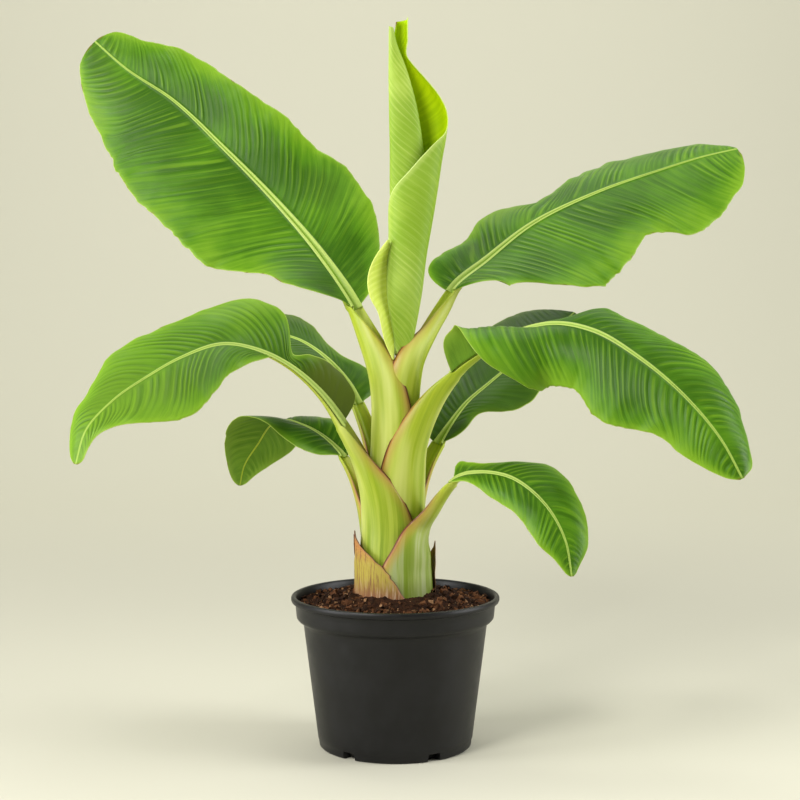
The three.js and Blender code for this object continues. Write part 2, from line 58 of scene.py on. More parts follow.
LEAVES = [
    dict(
        name="top_right", base=6, seed=2,
        rib=[(0, 15, 165), (2, 16, 350), (4, 17, 400), (10, 20, 440), (35, 36, 478), (54, 52, 508),
             (65, 62, 525), (110, 95, 563), (165, 130, 605), (247, 165, 645), (331, 195, 675),
             (388, 212, 693), (433, 228, 704)],
        radius=[26, 25, 24, 23, 14.5, 12.5, 10], spread=[120, 120, 120, 118, 112, 100, 90],
        facing=[(-1, -0.95, -0.1, 0), (-0.3, -0.9, 0.1, 0.3), (-0.06, -0.8, -0.3, 0.5),
                (0.1, -0.45, -0.75, 0.45), (0.5, -0.2, -0.8, 0.6), (1, 0, -0.8, 0.65)],
        right=dict(widths=[(0, 64), (0.03, 76), (0.06, 72), (0.1, 62), (0.14, 66), (0.18, 92), (0.24, 118),
                           (0.3, 128), (0.4, 125), (0.5, 108), (0.58, 90), (0.64, 94), (0.7, 109),
                           (0.8, 100), (0.9, 71), (0.97, 44), (1, 18)],
                   fold=[20, 8, 5, 5, 5], curl=[-20, -15, -15, -15, -15]),
        left=dict(widths=[(0, 32), (0.05, 56), (0.1, 57), (0.18, 48), (0.26, 60), (0.34, 52), (0.42, 40),
                          (0.5, 53), (0.56, 66), (0.64, 76), (0.72, 75), (0.8, 67), (0.9, 48), (0.97, 28),
                          (1, 12)],
                  fold=[15, 8, 0, -5, -5], curl=[-20, -35, -40, -50, -50]),
    ),
    dict(
        name="top_left", base=5, seed=1, rib_size=1.3,
        rib=[(0, 14, 165), (2, 15, 330), (2, 16, 390), (-8, 20, 430), (-27, 29, 470), (-45, 42, 505),
             (-90, 75, 570), (-142, 105, 630), (-206, 130, 695), (-272, 155, 757), (-334, 175, 799),
             (-373, 190, 833)],
        radius=[32, 31, 30, 24, 17, 11.5], spread=[120, 120, 120, 124, 118, 92],
        facing=[(-1, 0.98, -0.17, 0), (-0.35, 0.97, 0.05, 0.2), (-0.08, 0.85, -0.25, 0.4),
                (0.06, 0.55, -0.7, 0.35), (0.2, 0.3, -0.95, 0.25), (0.5, 0.1, -1, 0.2), (1, 0, -1, 0.3)],
        right=dict(widths=[(0, 14), (0.04, 36), (0.1, 61), (0.2, 87), (0.3, 94), (0.4, 83), (0.5, 81),
                           (0.6, 72), (0.7, 64), (0.8, 58), (0.9, 43), (0.97, 31), (1, 20)],
                   fold=[25, 10, 8, 6, 5], curl=[-20, -15, -10, -10, -10]),
        left=dict(widths=[(0, 22), (0.05, 50), (0.1, 67), (0.18, 76), (0.24, 96), (0.32, 116), (0.42, 121),
                          (0.5, 119), (0.6, 121), (0.7, 114), (0.76, 103), (0.82, 91), (0.9, 65),
                          (0.96, 44), (1, 26)],
                  fold=[15, 8, 6, 6, 5], curl=[-10, -10, -10, -12, -15]),
    ),
    dict(
        name="mid_right", base=6, seed=3, rib_size=0.85,
        rib=[(0, 14, 165), (2, 16, 261), (3, 11, 310), (11, 6, 350), (30, 0, 387), (48, -5, 413),
             (64, -10, 431), (98, -19, 457), (133, -38, 477), (173, -60, 488), (216, -90, 481),
             (260, -122, 454), (305, -152, 414), (342, -178, 366), (360, -190, 330)],
        radius=[36, 33, 32, 27, 20, 15.5, 12.5], spread=[100, 104, 106, 108, 110, 104, 95],
        facing=[(-1, -0.77, 0.64, 0), (-0.35, -0.8, 0.35, 0.3), (0, -0.7, 0.15, 0.7),
                (0.15, -0.5, -0.2, 0.8), (0.3, -0.3, -0.55, 0.8), (0.5, -0.17, -0.85, 0.5),
                (1, -0.1, -0.87, 0.47)],
        right=dict(widths=[(0, 16), (0.03, 38), (0.08, 50), (0.13, 67), (0.18, 99), (0.26, 106), (0.34, 84),
                           (0.42, 71), (0.5, 70), (0.58, 80), (0.68, 72), (0.78, 50), (0.88, 42), (0.95, 26),
                           (1, 8)],
                   fold=[82, 84, 78, 34, 10, 0, 0, 0, 0, 0, 0],
                   curl=[-8, -30, -165, -135, -75, -45, -32, -30, -30, -30, -30]),
        left=dict(widths=[(0, 14), (0.1, 22), (0.2, 22), (0.28, 24), (0.34, 36), (0.4, 48), (0.5, 52),
                          (0.6, 64), (0.7, 82), (0.8, 72), (0.9, 46), (0.96, 26), (1, 8)],
                  fold=[30, 5, -25, -18, 17, 12, 8, 3, 0, 0, 0], curl=[-20, -70, -80, -85, -85]),
    ),
    dict(
        name="mid_left", base=5, seed=4, rib_size=0.85, olive=0.24, painted_light=(0.45, 0.8),
        rib=[(0, 10, 165), (-1, 9, 230), (-6, 6, 262), (-15, 1, 295), (-33, -5, 332), (-57, -12, 372),
             (-85, -22, 410), (-122, -40, 443), (-153, -58, 459), (-188, -82, 466), (-231, -108, 452),
             (-265, -130, 432), (-298, -152, 408), (-323, -170, 378), (-332, -180, 344)],
        radius=[42, 40, 34, 27, 17.5, 12], spread=[110, 110, 112, 112, 106, 95],
        facing=[(-1, 0.87, 0.5, 0), (-0.4, 0.85, 0.35, 0.3), (-0.1, 0.7, -0.1, 0.65),
                (0.1, 0.5, -0.4, 0.75), (0.35, 0.2, -0.6, 0.75), (0.6, -0.15, -0.65, 0.7),
                (1, -0.5, -0.7, 0.5)],
        right=dict(widths=[(0, 14), (0.03, 30), (0.08, 37), (0.14, 36), (0.2, 27), (0.245, 16), (0.29, 52),
                           (0.34, 64), (0.42, 60), (0.5, 51), (0.6, 56), (0.7, 64), (0.8, 42), (0.9, 29),
                           (1, 8)],
                   fold=[70, 60, 25, 15, 10], curl=[-10, -50, -40, -40, -40]),
        left=dict(widths=[(0.3, 8), (0.36, 20), (0.42, 34), (0.5, 48), (0.6, 68), (0.7, 75), (0.78, 58),
                          (0.86, 30), (0.93, 14), (1, 7)],
                  fold=[0, 8, 8, 5, 5], curl=[-20, -30, -30, -30, -30]),
    ),
    dict(
        name="back_right", base=4, seed=5, rib_size=0.8, painted_shade=0.62,
        rib=[(0, 13, 165), (8, 20, 250), (22, 28, 290), (38, 38, 326), (50, 47, 346), (64, 60, 366),
             (84, 80, 390), (113, 105, 413), (146, 130, 438), (185, 165, 466), (225, 200, 497)],
        radius=[37, 28, 15, 10, 9], spread=[95, 95, 95, 95, 95],
        facing=[(-1, -0.71, -0.71, 0), (-0.3, -0.6, -0.7, 0.3), (0, -0.5, -0.7, 0.5),
                (0.5, -0.3, -0.7, 0.7), (1, 0, -0.6, 0.8)],
        right=dict(widths=[(0, 10), (0.1, 24), (0.2, 24), (0.3, 50), (0.4, 60), (0.5, 58), (0.7, 60),
                           (0.85, 46), (1, 10)],
                   fold=[20, 10, 8, 5], curl=[-30, -30, -30, -30]),
        left=dict(widths=[(0, 20), (0.15, 42), (0.35, 56), (0.6, 74), (0.8, 76), (0.9, 63), (0.96, 44),
                          (1, 16)],
                  fold=[20, 10, 8, 5], curl=[-30, -30, -30, -30]),
    ),
    dict(
        name="back_left", base=4, seed=6, rib_size=0.8, painted_shade=0.55,
        rib=[(0, 13, 165), (-3, 18, 270), (-14, 28, 316), (-28, 42, 354), (-44, 56, 392), (-54, 66, 412),
             (-69, 82, 431), (-91, 103, 450), (-121, 130, 466), (-165, 160, 472), (-214, 190, 457),
             (-254, 205, 431)],
        radius=[36, 30, 20, 12, 9], spread=[95, 95, 95, 95, 95],
        facing=[(-1, 0.71, -0.71, 0), (-0.3, 0.6, -0.7, 0.3), (0, 0.5, -0.7, 0.5), (0.5, 0.2, -0.7, 0.7),
                (1, -0.2, -0.5, 0.8)],
        right=dict(widths=[(0, 16), (0.04, 30), (0.1, 35), (0.16, 29), (0.22, 20), (0.3, 18), (0.4, 24),
                           (0.5, 36), (0.6, 46), (0.75, 42), (0.9, 28), (1, 8)],
                   fold=[20, 10, 8, 5], curl=[-10, -10, -30, -30]),
        left=dict(widths=[(0, 8), (0.2, 24), (0.4, 36), (0.6, 42), (0.8, 40), (0.92, 24), (1, 8)],
                  fold=[20, 10, 8, 5], curl=[-30, -30, -30, -30]),
    ),
    dict(
        name="low_left", base=5, seed=7, rib_size=0.8, painted_shade=0.15,
        rib=[(0, 12, 165), (-8, 14, 215), (-24, 18, 250), (-38, 20, 283), (-50, 28, 314), (-60, 38, 331),
             (-69, 48, 340), (-83, 60, 351), (-97, 72, 359), (-113, 85, 365), (-133, 100, 369),
             (-150, 112, 363), (-168, 122, 338), (-186, 128, 309), (-191, 130, 286)],
        radius=[40, 32, 18, 9, 7.5, 7], spread=[100, 100, 98, 95, 95, 90],
        facing=[(-1, 0.97, -0.26, 0), (-0.3, 0.8, -0.35, 0.4), (0, 0.5, -0.5, 0.7), (0.35, 0.2, -0.35, 1),
                (0.5, -0.1, 0, 1), (0.65, -0.5, 0.5, 0.6), (1, -0.6, 0.8, 0.1)],
        right=dict(widths=[(0, 14), (0.1, 30), (0.2, 34), (0.32, 30), (0.42, 42), (0.55, 54), (0.66, 54),
                           (0.8, 36), (0.9, 24), (1, 5)],
                   fold=[40, 35, 10, 0, 0], curl=[-20, -30, -40, -30, -30]),
        left=dict(widths=[(0, 8), (0.1, 26), (0.25, 34), (0.4, 38), (0.5, 47), (0.6, 54), (0.7, 54),
                          (0.8, 43), (0.9, 25), (1, 5)],
                  fold=[10, 0, 26, 25, 5], curl=[-50, -50, -30, -30, -30]),
    ),
    dict(
        name="low_right", base=6, seed=8, rib_size=0.65, painted_sheen=0.75,
        rib=[(0, 8, 165), (1, 4, 215), (9, -2, 243), (24, -8, 264), (39, -20, 279), (51, -30, 296),
             (63, -40, 311), (78, -52, 320), (92, -62, 323), (105, -74, 324), (128, -92, 320),
             (149, -108, 307), (169, -124, 285), (182, -138, 258), (188, -150, 221)],
        radius=[44, 41, 34, 21, 13.5, 10.5, 9], spread=[80, 80, 73, 83, 98, 102, 94],
        facing=[(-1, -0.82, 0.57, 0), (-0.4, -0.8, 0.4, 0.4), (-0.15, -0.7, 0.1, 0.7), (0, -0.5, 0, 0.85),
                (0.2, -0.2, -0.5, 0.85), (0.45, 0, -0.8, 0.6), (0.7, 0.1, -0.9, 0.4), (1, 0.3, -0.9, 0.2)],
        right=dict(widths=[(0, 6), (0.06, 12), (0.12, 14), (0.2, 20), (0.3, 29), (0.38, 33), (0.46, 32),
                           (0.55, 31), (0.65, 32), (0.75, 31), (0.84, 27), (0.92, 15), (1, 4)],
                   fold=[10, 5, 5, 5], curl=[-60, -40, -30, -30]),
        left=dict(widths=[(0, 16), (0.04, 23), (0.1, 17), (0.16, 13), (0.24, 17), (0.32, 28), (0.4, 41),
                          (0.48, 49), (0.56, 50), (0.65, 46), (0.74, 39), (0.84, 29), (0.92, 19), (1, 5)],
                  fold=[48, 12, 8, 5], curl=[-20, -45, -60, -60]),
    ),
]


# -------- numbers

def through(stations, values, x):
    """Smooth curve through values at rising stations, as cubic pieces."""
    xs = np.asarray(stations, float)
    ys = np.asarray(values, float)
    flat = ys.ndim == 1
    if flat:
        ys = ys[:, None]
    h = np.diff(xs)[:, None]
    d = np.diff(ys, axis=0) / h
    m = np.empty_like(ys)
    m[0] = d[0]
    m[-1] = d[-1]
    m[1:-1] = (d[:-1] * h[1:] + d[1:] * h[:-1]) / (h[:-1] + h[1:])
    x = np.asarray(x, float)
    i = np.clip(np.searchsorted(xs, x, side="right") - 1, 0, len(xs) - 2)
    t = np.clip((x - xs[i]) / (xs[i + 1] - xs[i]), 0, 1)[..., None]
    hi = (xs[i + 1] - xs[i])[..., None]
    t2 = t * t
    t3 = t2 * t
    out = (2 * t3 - 3 * t2 + 1) * ys[i] + (t3 - 2 * t2 + t) * hi * m[i]
    out += (3 * t2 - 2 * t3) * ys[i + 1] + (t3 - t2) * hi * m[i + 1]
    return out[..., 0] if flat else out


def unit(v):
    return v / np.maximum(np.linalg.norm(v, axis=-1, keepdims=True), 1e-9)


def ramp(x, low, high):
    """From 0 at low to 1 at high, eased at both ends."""
    t = np.clip((x - low) / (high - low), 0, 1)
    return t * t * (3 - 2 * t)


def lattice(ix, iy, seed):
    """A fixed pseudo-random number from -1 to 1 for each whole ix, iy."""
    h = (ix.astype(np.int64) * 374761393 + iy.astype(np.int64) * 668265263 + seed * 982451653) & 0xFFFFFFFF
    h = ((h ^ (h >> 13)) * 1274126177) & 0xFFFFFFFF
    return ((h ^ (h >> 16)) & 0xFFFF) / 32767.5 - 1


def noise(x, y, seed):
    """Smooth value noise from -1 to 1."""
    x, y = np.broadcast_arrays(np.asarray(x, float), np.asarray(y, float))
    ix = np.floor(x)
    iy = np.floor(y)
    u = x - ix
    v = y - iy
    u = u * u * (3 - 2 * u)
    v = v * v * (3 - 2 * v)
    a = lattice(ix, iy, seed) * (1 - u) + lattice(ix + 1, iy, seed) * u
    b = lattice(ix, iy + 1, seed) * (1 - u) + lattice(ix + 1, iy + 1, seed) * u
    return a * (1 - v) + b * v


# -------- meshes

def make_piece(name, points, quads, materials, values=None, face_material=None):
    """A smooth-shaded mesh object from points in mm and quads, riding on the plant's body."""
    mesh = bpy.data.meshes.new(name)
    points = np.asarray(points, np.float32).reshape(-1, 3) * MM
    quads = np.asarray(quads, np.int32)
    mesh.vertices.add(len(points))
    mesh.vertices.foreach_set("co", points.ravel())
    mesh.loops.add(quads.size)
    mesh.loops.foreach_set("vertex_index", quads.ravel())
    mesh.polygons.add(len(quads))
    mesh.polygons.foreach_set("loop_start", np.arange(0, quads.size, quads.shape[1], dtype=np.int32))
    for material in materials:
        mesh.materials.append(material)
    if face_material is not None:
        mesh.polygons.foreach_set("material_index", np.asarray(face_material, np.int32))
    mesh.polygons.foreach_set("use_smooth", np.ones(len(quads), bool))
    for key, numbers in (values or {}).items():
        layer = mesh.attributes.new(key, "FLOAT", "POINT")
        layer.data.foreach_set("value", np.asarray(numbers, np.float32).ravel())
    mesh.update(calc_edges=True)
    mesh.validate()
    piece = bpy.data.objects.new(name, mesh)
    bpy.context.scene.collection.objects.link(piece)
    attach(piece, "root")
    return piece


def grid_quads(rows, columns, wrap=False):
    """Quads between the points of a grid, closed round from the last column if it wraps."""
    i = np.arange(rows - 1)[:, None]
    j = np.arange(columns if wrap else columns - 1)[None, :]
    k = (j + 1) % columns
    a = i * columns + j
    b = i * columns + k
    return np.stack([a, b, b + columns, a + columns], -1).reshape(-1, 4)


def grid_normals(grid):
    along = np.gradient(grid, axis=0)
    across = np.gradient(grid, axis=1)
    return unit(np.cross(across, along))


def on_grid(values, shape):
    """Values spread out to every point of a grid."""
    return {key: np.broadcast_to(number, shape).ravel() for key, number in values.items()}


def both_faces(values, shape):
    """Values on a grid, for the points of both faces of the sheet made from it."""
    return {key: np.tile(numbers, 2) for key, numbers in on_grid(values, shape).items()}


def sheet_mesh(grid, thickness):
    """Closed thin sheet over a grid: points, quads and, for each quad, 1 if it is on the under
    face and 0 if it is not."""
    rows, columns = grid.shape[:2]
    shift = grid_normals(grid) * (np.asarray(thickness, float)[..., None] * 0.5)
    count = rows * columns
    points = np.concatenate([(grid + shift).reshape(-1, 3), (grid - shift).reshape(-1, 3)])
    top = grid_quads(rows, columns)
    under = top[:, ::-1] + count
    edge = np.concatenate([
        np.arange(columns - 1), np.arange(rows - 1) * columns + columns - 1,
        (rows - 1) * columns + np.arange(columns - 1, 0, -1), np.arange(rows - 1, 0, -1) * columns,
    ])
    after = np.roll(edge, -1)
    rim = np.stack([edge + count, after + count, after, edge], -1)
    quads = np.concatenate([top, under, rim])
    return points, quads, np.repeat([0, 1, 0], [len(top), len(under), len(rim)])


# -------- materials

class Nodes:
    """A small helper to build one Principled material."""

    def __init__(self, name, **settings):
        self.material = bpy.data.materials.new(name)
        self.material.use_nodes = True
        self.tree = self.material.node_tree
        self.shader = self.tree.nodes["Principled BSDF"]
        for key, value in settings.items():
            self.shader.inputs[key.replace("_", " ")].default_value = value

    def add(self, kind, **settings):
        node = self.tree.nodes.new(kind)
        for key, value in settings.items():
            setattr(node, key, value)
        return node

    def link(self, source, target):
        self.tree.links.new(source, target)

    def put(self, node_input, value):
        if hasattr(value, "is_output"):
            self.link(value, node_input)
        else:
            node_input.default_value = value

    def value(self, name):
        return self.add("ShaderNodeAttribute", attribute_name=name).outputs["Fac"]

    def place(self):
        return self.add("ShaderNodeTexCoord").outputs["Object"]

    def math(self, operation, a, b=0.0):
        node = self.add("ShaderNodeMath", operation=operation)
        for socket, value in zip(node.inputs, (a, b)):
            self.put(socket, value)
        return node.outputs[0]

    def times(self, a, b):
        return self.math("MULTIPLY", a, b)

    def vector(self, x, y, z=0.0):
        node = self.add("ShaderNodeCombineXYZ")
        for socket, value in zip(node.inputs, (x, y, z)):
            self.put(socket, value)
        return node.outputs[0]

    def noise(self, vector, scale, detail=4.0, roughness=0.55):
        node = self.add("ShaderNodeTexNoise")
        self.link(vector, node.inputs["Vector"])
        node.inputs["Scale"].default_value = scale
        node.inputs["Detail"].default_value = detail
        node.inputs["Roughness"].default_value = roughness
        return node.outputs["Fac"]

    def streaks(self, u, u_rate, v, v_rate, seed=0.0, detail=4.0, roughness=0.6):
        """Noise over two of the piece's own measures, each at its own rate."""
        vector = self.vector(self.times(u, u_rate), self.times(v, v_rate), seed)
        return self.noise(vector, 1.0, detail, roughness)

    def range(self, value, low, high, to_low=0.0, to_high=1.0):
        node = self.add("ShaderNodeMapRange", interpolation_type="SMOOTHSTEP")
        for socket, number in zip(node.inputs, (value, low, high, to_low, to_high)):
            self.put(socket, number)
        return node.outputs[0]

    def mix(self, factor, a, b):
        node = self.add("ShaderNodeMix", data_type="RGBA")
        self.put(node.inputs[0], factor)
        for socket, colour in zip((node.inputs[6], node.inputs[7]), (a, b)):
            self.put(socket, colour if hasattr(colour, "is_output") else (*colour, 1))
        return node.outputs[2]

    def tint(self, colour, other, value, low, high, most=1.0):
        """Mix another colour into this one as a value goes from low to high."""
        return self.mix(self.range(value, low, high, 0.0, most), colour, other)

    def bump(self, height, strength, distance):
        node = self.add("ShaderNodeBump")
        node.inputs["Strength"].default_value = strength
        node.inputs["Distance"].default_value = distance
        self.link(height, node.inputs["Height"])
        self.link(node.outputs[0], self.shader.inputs["Normal"])

    def finish(self, colour, roughness=None):
        self.link(colour, self.shader.inputs["Base Color"])
        if roughness is not None:
            self.link(roughness, self.shader.inputs["Roughness"])
        return self.material


SHADED_GREEN = (0.035, 0.078, 0.010)
OLIVE_GREEN = (0.078, 0.115, 0.012)
RIB_GREEN = (0.42, 0.54, 0.13)
RIB_GROOVE_SHADE = (0.21, 0.36, 0.03)
RIB_TIP_GREEN = (0.24, 0.38, 0.04)
LEAF_BROWN = (0.16, 0.075, 0.02)


# pale: the colour of the painted sheen patches on the leaf face.
def leaf_material(name, dark, mid, light, edge, rough, relief, sheen=0.15, pale=(0.130, 0.230, 0.040)):
    """Leaf face: streaks and veins run along the pleats, pale rib; paler towards the margin, partly its own
    colour and partly painted light shining through the blade; painted highlight and shade on the pleats,
    painted sheen patches, a painted lit patch and painted shade.
    """
    n = Nodes(name, IOR=1.42, Specular_IOR_Level=sheen)
    vein = n.value("vein")
    across = n.value("across")
    share = n.value("share")
    strength = n.value("strength")
    seed = n.value("seed")
    wave = n.math("SINE", n.times(n.value("phase"), 2 * math.pi))
    # painted highlight on the pleat crests and painted shade in the pleat hollows
    ridge_highlight = n.times(n.range(wave, 0.45, 1.0), strength)
    valley_shade = n.times(n.range(wave, -0.35, -0.95), strength)
    streak = n.streaks(vein, 0.20, across, 1.1, seed)
    fine = n.streaks(vein, 1.3, across, 1.5, seed, detail=2.0)
    cloud = n.noise(n.place(), 11.0, 3.0, 0.5)
    sheen_cloud = n.noise(n.place(), 6.5, 1.0)
    tone = n.math("ADD", n.times(streak, 0.34), n.times(cloud, 0.66))
    # paler towards the margin: partly the leaf's own colour, partly painted light shining through the thin
    # blade
    tone = n.math("ADD", tone, n.range(share, 0.40, 1.0, 0.0, 0.20))
    colour = n.tint(dark, mid, tone, 0.40, 0.64)
    colour = n.tint(colour, light, tone, 0.56, 0.80, 0.52)
    # painted lit patch on part of the blade
    colour = n.mix(n.value("painted_light"), colour, light)
    # pleats: painted highlight on the crests, painted shade in the hollows
    colour = n.mix(n.times(ridge_highlight, 0.36), colour, light)
    colour = n.mix(n.times(valley_shade, 0.72), colour, dark)
    # painted sheen: soft patches of the pale colour
    colour = n.tint(colour, pale, sheen_cloud, 0.48, 0.72, 0.16)
    colour = n.tint(colour, light, fine, 0.52, 0.78, 0.22)
    # lighter within 10 mm of the margin: partly the leaf's own colour, partly painted light shining through
    # the blade
    colour = n.tint(colour, light, n.value("rim_mm"), 10.0, 0.5, 0.35)
    # painted shade: the blade mixed towards SHADED_GREEN where it lies in shade
    colour = n.mix(n.value("painted_shade"), colour, SHADED_GREEN)
    colour = n.mix(n.value("olive"), colour, OLIVE_GREEN)
    colour = n.tint(colour, edge, n.value("rim_mm"), 1.4, 0.4, 0.8)
    # painted shadow darkens the middle of the midrib's groove
    rib = n.tint(RIB_GREEN, RIB_GROOVE_SHADE, n.value("groove"), 0.35, 0.9)
    rib = n.tint(rib, RIB_TIP_GREEN, n.value("along"), 0.2, 0.9, 0.6)
    colour = n.tint(colour, rib, n.value("rib_mm"), 0.6, 0.15)
    colour = n.mix(n.value("brown"), colour, LEAF_BROWN)
    n.bump(fine, 0.3, relief)
    return n.finish(colour, n.range(streak, 0.3, 0.7, rough - 0.06, rough + 0.08))


SHEEN_GREY = (0.40, 0.44, 0.27)
FOOT_SHADE_GREEN = (0.135, 0.215, 0.014)
FOOT_DARK_GREEN = (0.10, 0.13, 0.02)
MARGIN_WARM = (0.44, 0.29, 0.06)
MARGIN_BLUSH = (0.36, 0.15, 0.045)


def stalk_material(name, low, mid, high, margin, rough):
    """Sheath and stalk: long streaks, painted whitish sheen in streaks, painted shade lower down and darker
    at the very foot, and a thin brownish margin.
    """
    n = Nodes(name, IOR=1.42, Specular_IOR_Level=0.4)
    run = n.value("run")
    turn = n.value("turn")
    seed = n.value("seed")
    streak = n.streaks(run, 0.005, turn, 0.14, seed)
    fine = n.streaks(run, 0.02, turn, 1.3, seed, detail=2.0)
    blotch = n.streaks(run, 0.006, turn, 0.045, seed, detail=2.0, roughness=0.5)
    colour = n.tint(low, mid, streak, 0.26, 0.74)
    colour = n.tint(colour, high, blotch, 0.42, 0.75, 0.8)
    colour = n.tint(colour, high, fine, 0.5, 0.85, 0.22)
    # painted sheen: whitish streaks painted on the sheath, fading out towards the blade
    colour = n.mix(n.times(n.range(streak, 0.36, 0.68), n.value("painted_sheen")), colour, SHEEN_GREY)
    # painted shade: darker green lower down each stalk, patchy along the streaks
    foot = n.times(n.range(run, 150.0, 55.0), n.range(streak, 0.40, 0.62, 0.75, 0.25))
    colour = n.mix(foot, colour, FOOT_SHADE_GREEN)
    side = n.value("margin_mm")
    dry = n.value("dry")
    warm = n.times(n.range(side, 16.0, 3.0), n.times(dry, n.range(blotch, 0.3, 0.6, 0.4, 0.95)))
    colour = n.mix(warm, colour, MARGIN_WARM)
    blush = n.times(n.range(side, 5.5, 1.8), n.times(dry, n.range(streak, 0.35, 0.62, 0.5, 1.0)))
    colour = n.mix(blush, colour, MARGIN_BLUSH)
    colour = n.mix(n.times(n.range(side, 2.1, 1.0), dry), colour, margin)
    # darker towards the very foot of each stalk
    colour = n.tint(colour, FOOT_DARK_GREEN, run, 42.0, 8.0, 0.5)
    n.bump(fine, 0.22, 0.0004)
    return n.finish(colour, n.range(streak, 0.3, 0.7, rough - 0.05, rough + 0.1))


leaf_top = leaf_material(
    "leaf_upper_face", dark=(0.030, 0.097, 0.003), mid=(0.068, 0.190, 0.005), light=(0.215, 0.390, 0.018),
    edge=(0.36, 0.48, 0.08), rough=0.36, relief=0.0005, sheen=0.16)
leaf_under = leaf_material(
    "leaf_under_face", dark=(0.085, 0.190, 0.012), mid=(0.150, 0.290, 0.020), light=(0.270, 0.420, 0.045),
    edge=(0.36, 0.48, 0.08), rough=0.55, relief=0.0006)
stalk_skin = stalk_material(
    "stalk_skin", low=(0.25, 0.35, 0.010), mid=(0.41, 0.49, 0.022), high=(0.62, 0.66, 0.18),
    margin=(0.13, 0.040, 0.018), rough=0.36)


# -------- leaves

class Rib:
    """The line of a leaf from foot to tip, with its axes."""

    def __init__(self, leaf):
        points = np.asarray(leaf["rib"], float)
        knots = np.r_[0, np.cumsum(np.linalg.norm(np.diff(points, axis=0), axis=1))]
        u = np.linspace(0, knots[-1], 1500)
        self.line = through(knots, points, u)
        self.length = np.r_[0, np.cumsum(np.linalg.norm(np.diff(self.line, axis=0), axis=1))]
        self.total = self.length[-1]
        stations = np.interp(knots, u, self.length)
        self.base = stations[leaf["base"]]
        self.stalk_stations = stations[: leaf["base"] + 1] / self.base - 1
        self.leaf = leaf

    def at(self, run):
        """The point at a distance from the foot."""
        return np.stack([np.interp(run, self.length, self.line[:, k]) for k in range(3)], -1)

    def frame(self, x):
        """Point, upper side's direction and sideways direction at x, which is -1 at the foot,
        0 where the blade starts and 1 at the tip."""
        run = np.where(x >= 0, self.base + x * (self.total - self.base), self.base * (1 + x))
        step = 7.0
        ahead = self.at(np.minimum(run + step, self.total))
        tangent = unit(ahead - self.at(np.maximum(run - step, 0)))
        facing = np.asarray(self.leaf["facing"], float)
        normal = through(facing[:, 0], facing[:, 1:], x)
        normal = unit(normal - (normal * tangent).sum(-1, keepdims=True) * tangent)
        return self.at(run), normal, np.cross(tangent, normal)

    def neck(self, x):
        """Radius of the midrib at x along the blade."""
        start = self.leaf["radius"][-1]
        size = self.leaf.get("rib_size", 1.0)
        return 0.8 + (start - 0.8) * (1 - np.clip(x, 0, 1)) ** 1.4 * (0.45 * size + 0.55 * np.exp(-x * 9))


def half_width(half, x):
    """Width of one half of a blade, rounded off where it starts and at the tip."""
    stations, widths = zip(*half["widths"])
    start = stations[0]
    width = through(stations, widths, x)
    up = np.clip(1 - (x - start) / 0.05, 0, 1)
    down = np.clip((x - 0.98) / 0.02, 0, 1)
    return width * np.sqrt(1 - up ** 2) * np.sqrt(1 - 0.9 * down ** 2) * (x >= start)


def bend(half, key, x):
    """A half's fold or curl, in radians."""
    return np.radians(through(np.linspace(0, 1, len(half[key])), half[key], x))


# The midrib seen from above: where its columns lie across it, and how high each stands.
RIB_COLUMNS = np.array([-1, -0.8, -0.5, -0.2, 0, 0.2, 0.5, 0.8, 1])
RIB_LIFT = np.array([0.1, 0.42, 0.12, -0.2, -0.26, -0.2, 0.12, 0.42, 0.1])
VEIN_SLANT = 0.17
ROW_STEP = 1.6
PLEAT_PITCH = 9.6
PLEAT_HEIGHT = 0.38
CURL_STEPS = 24


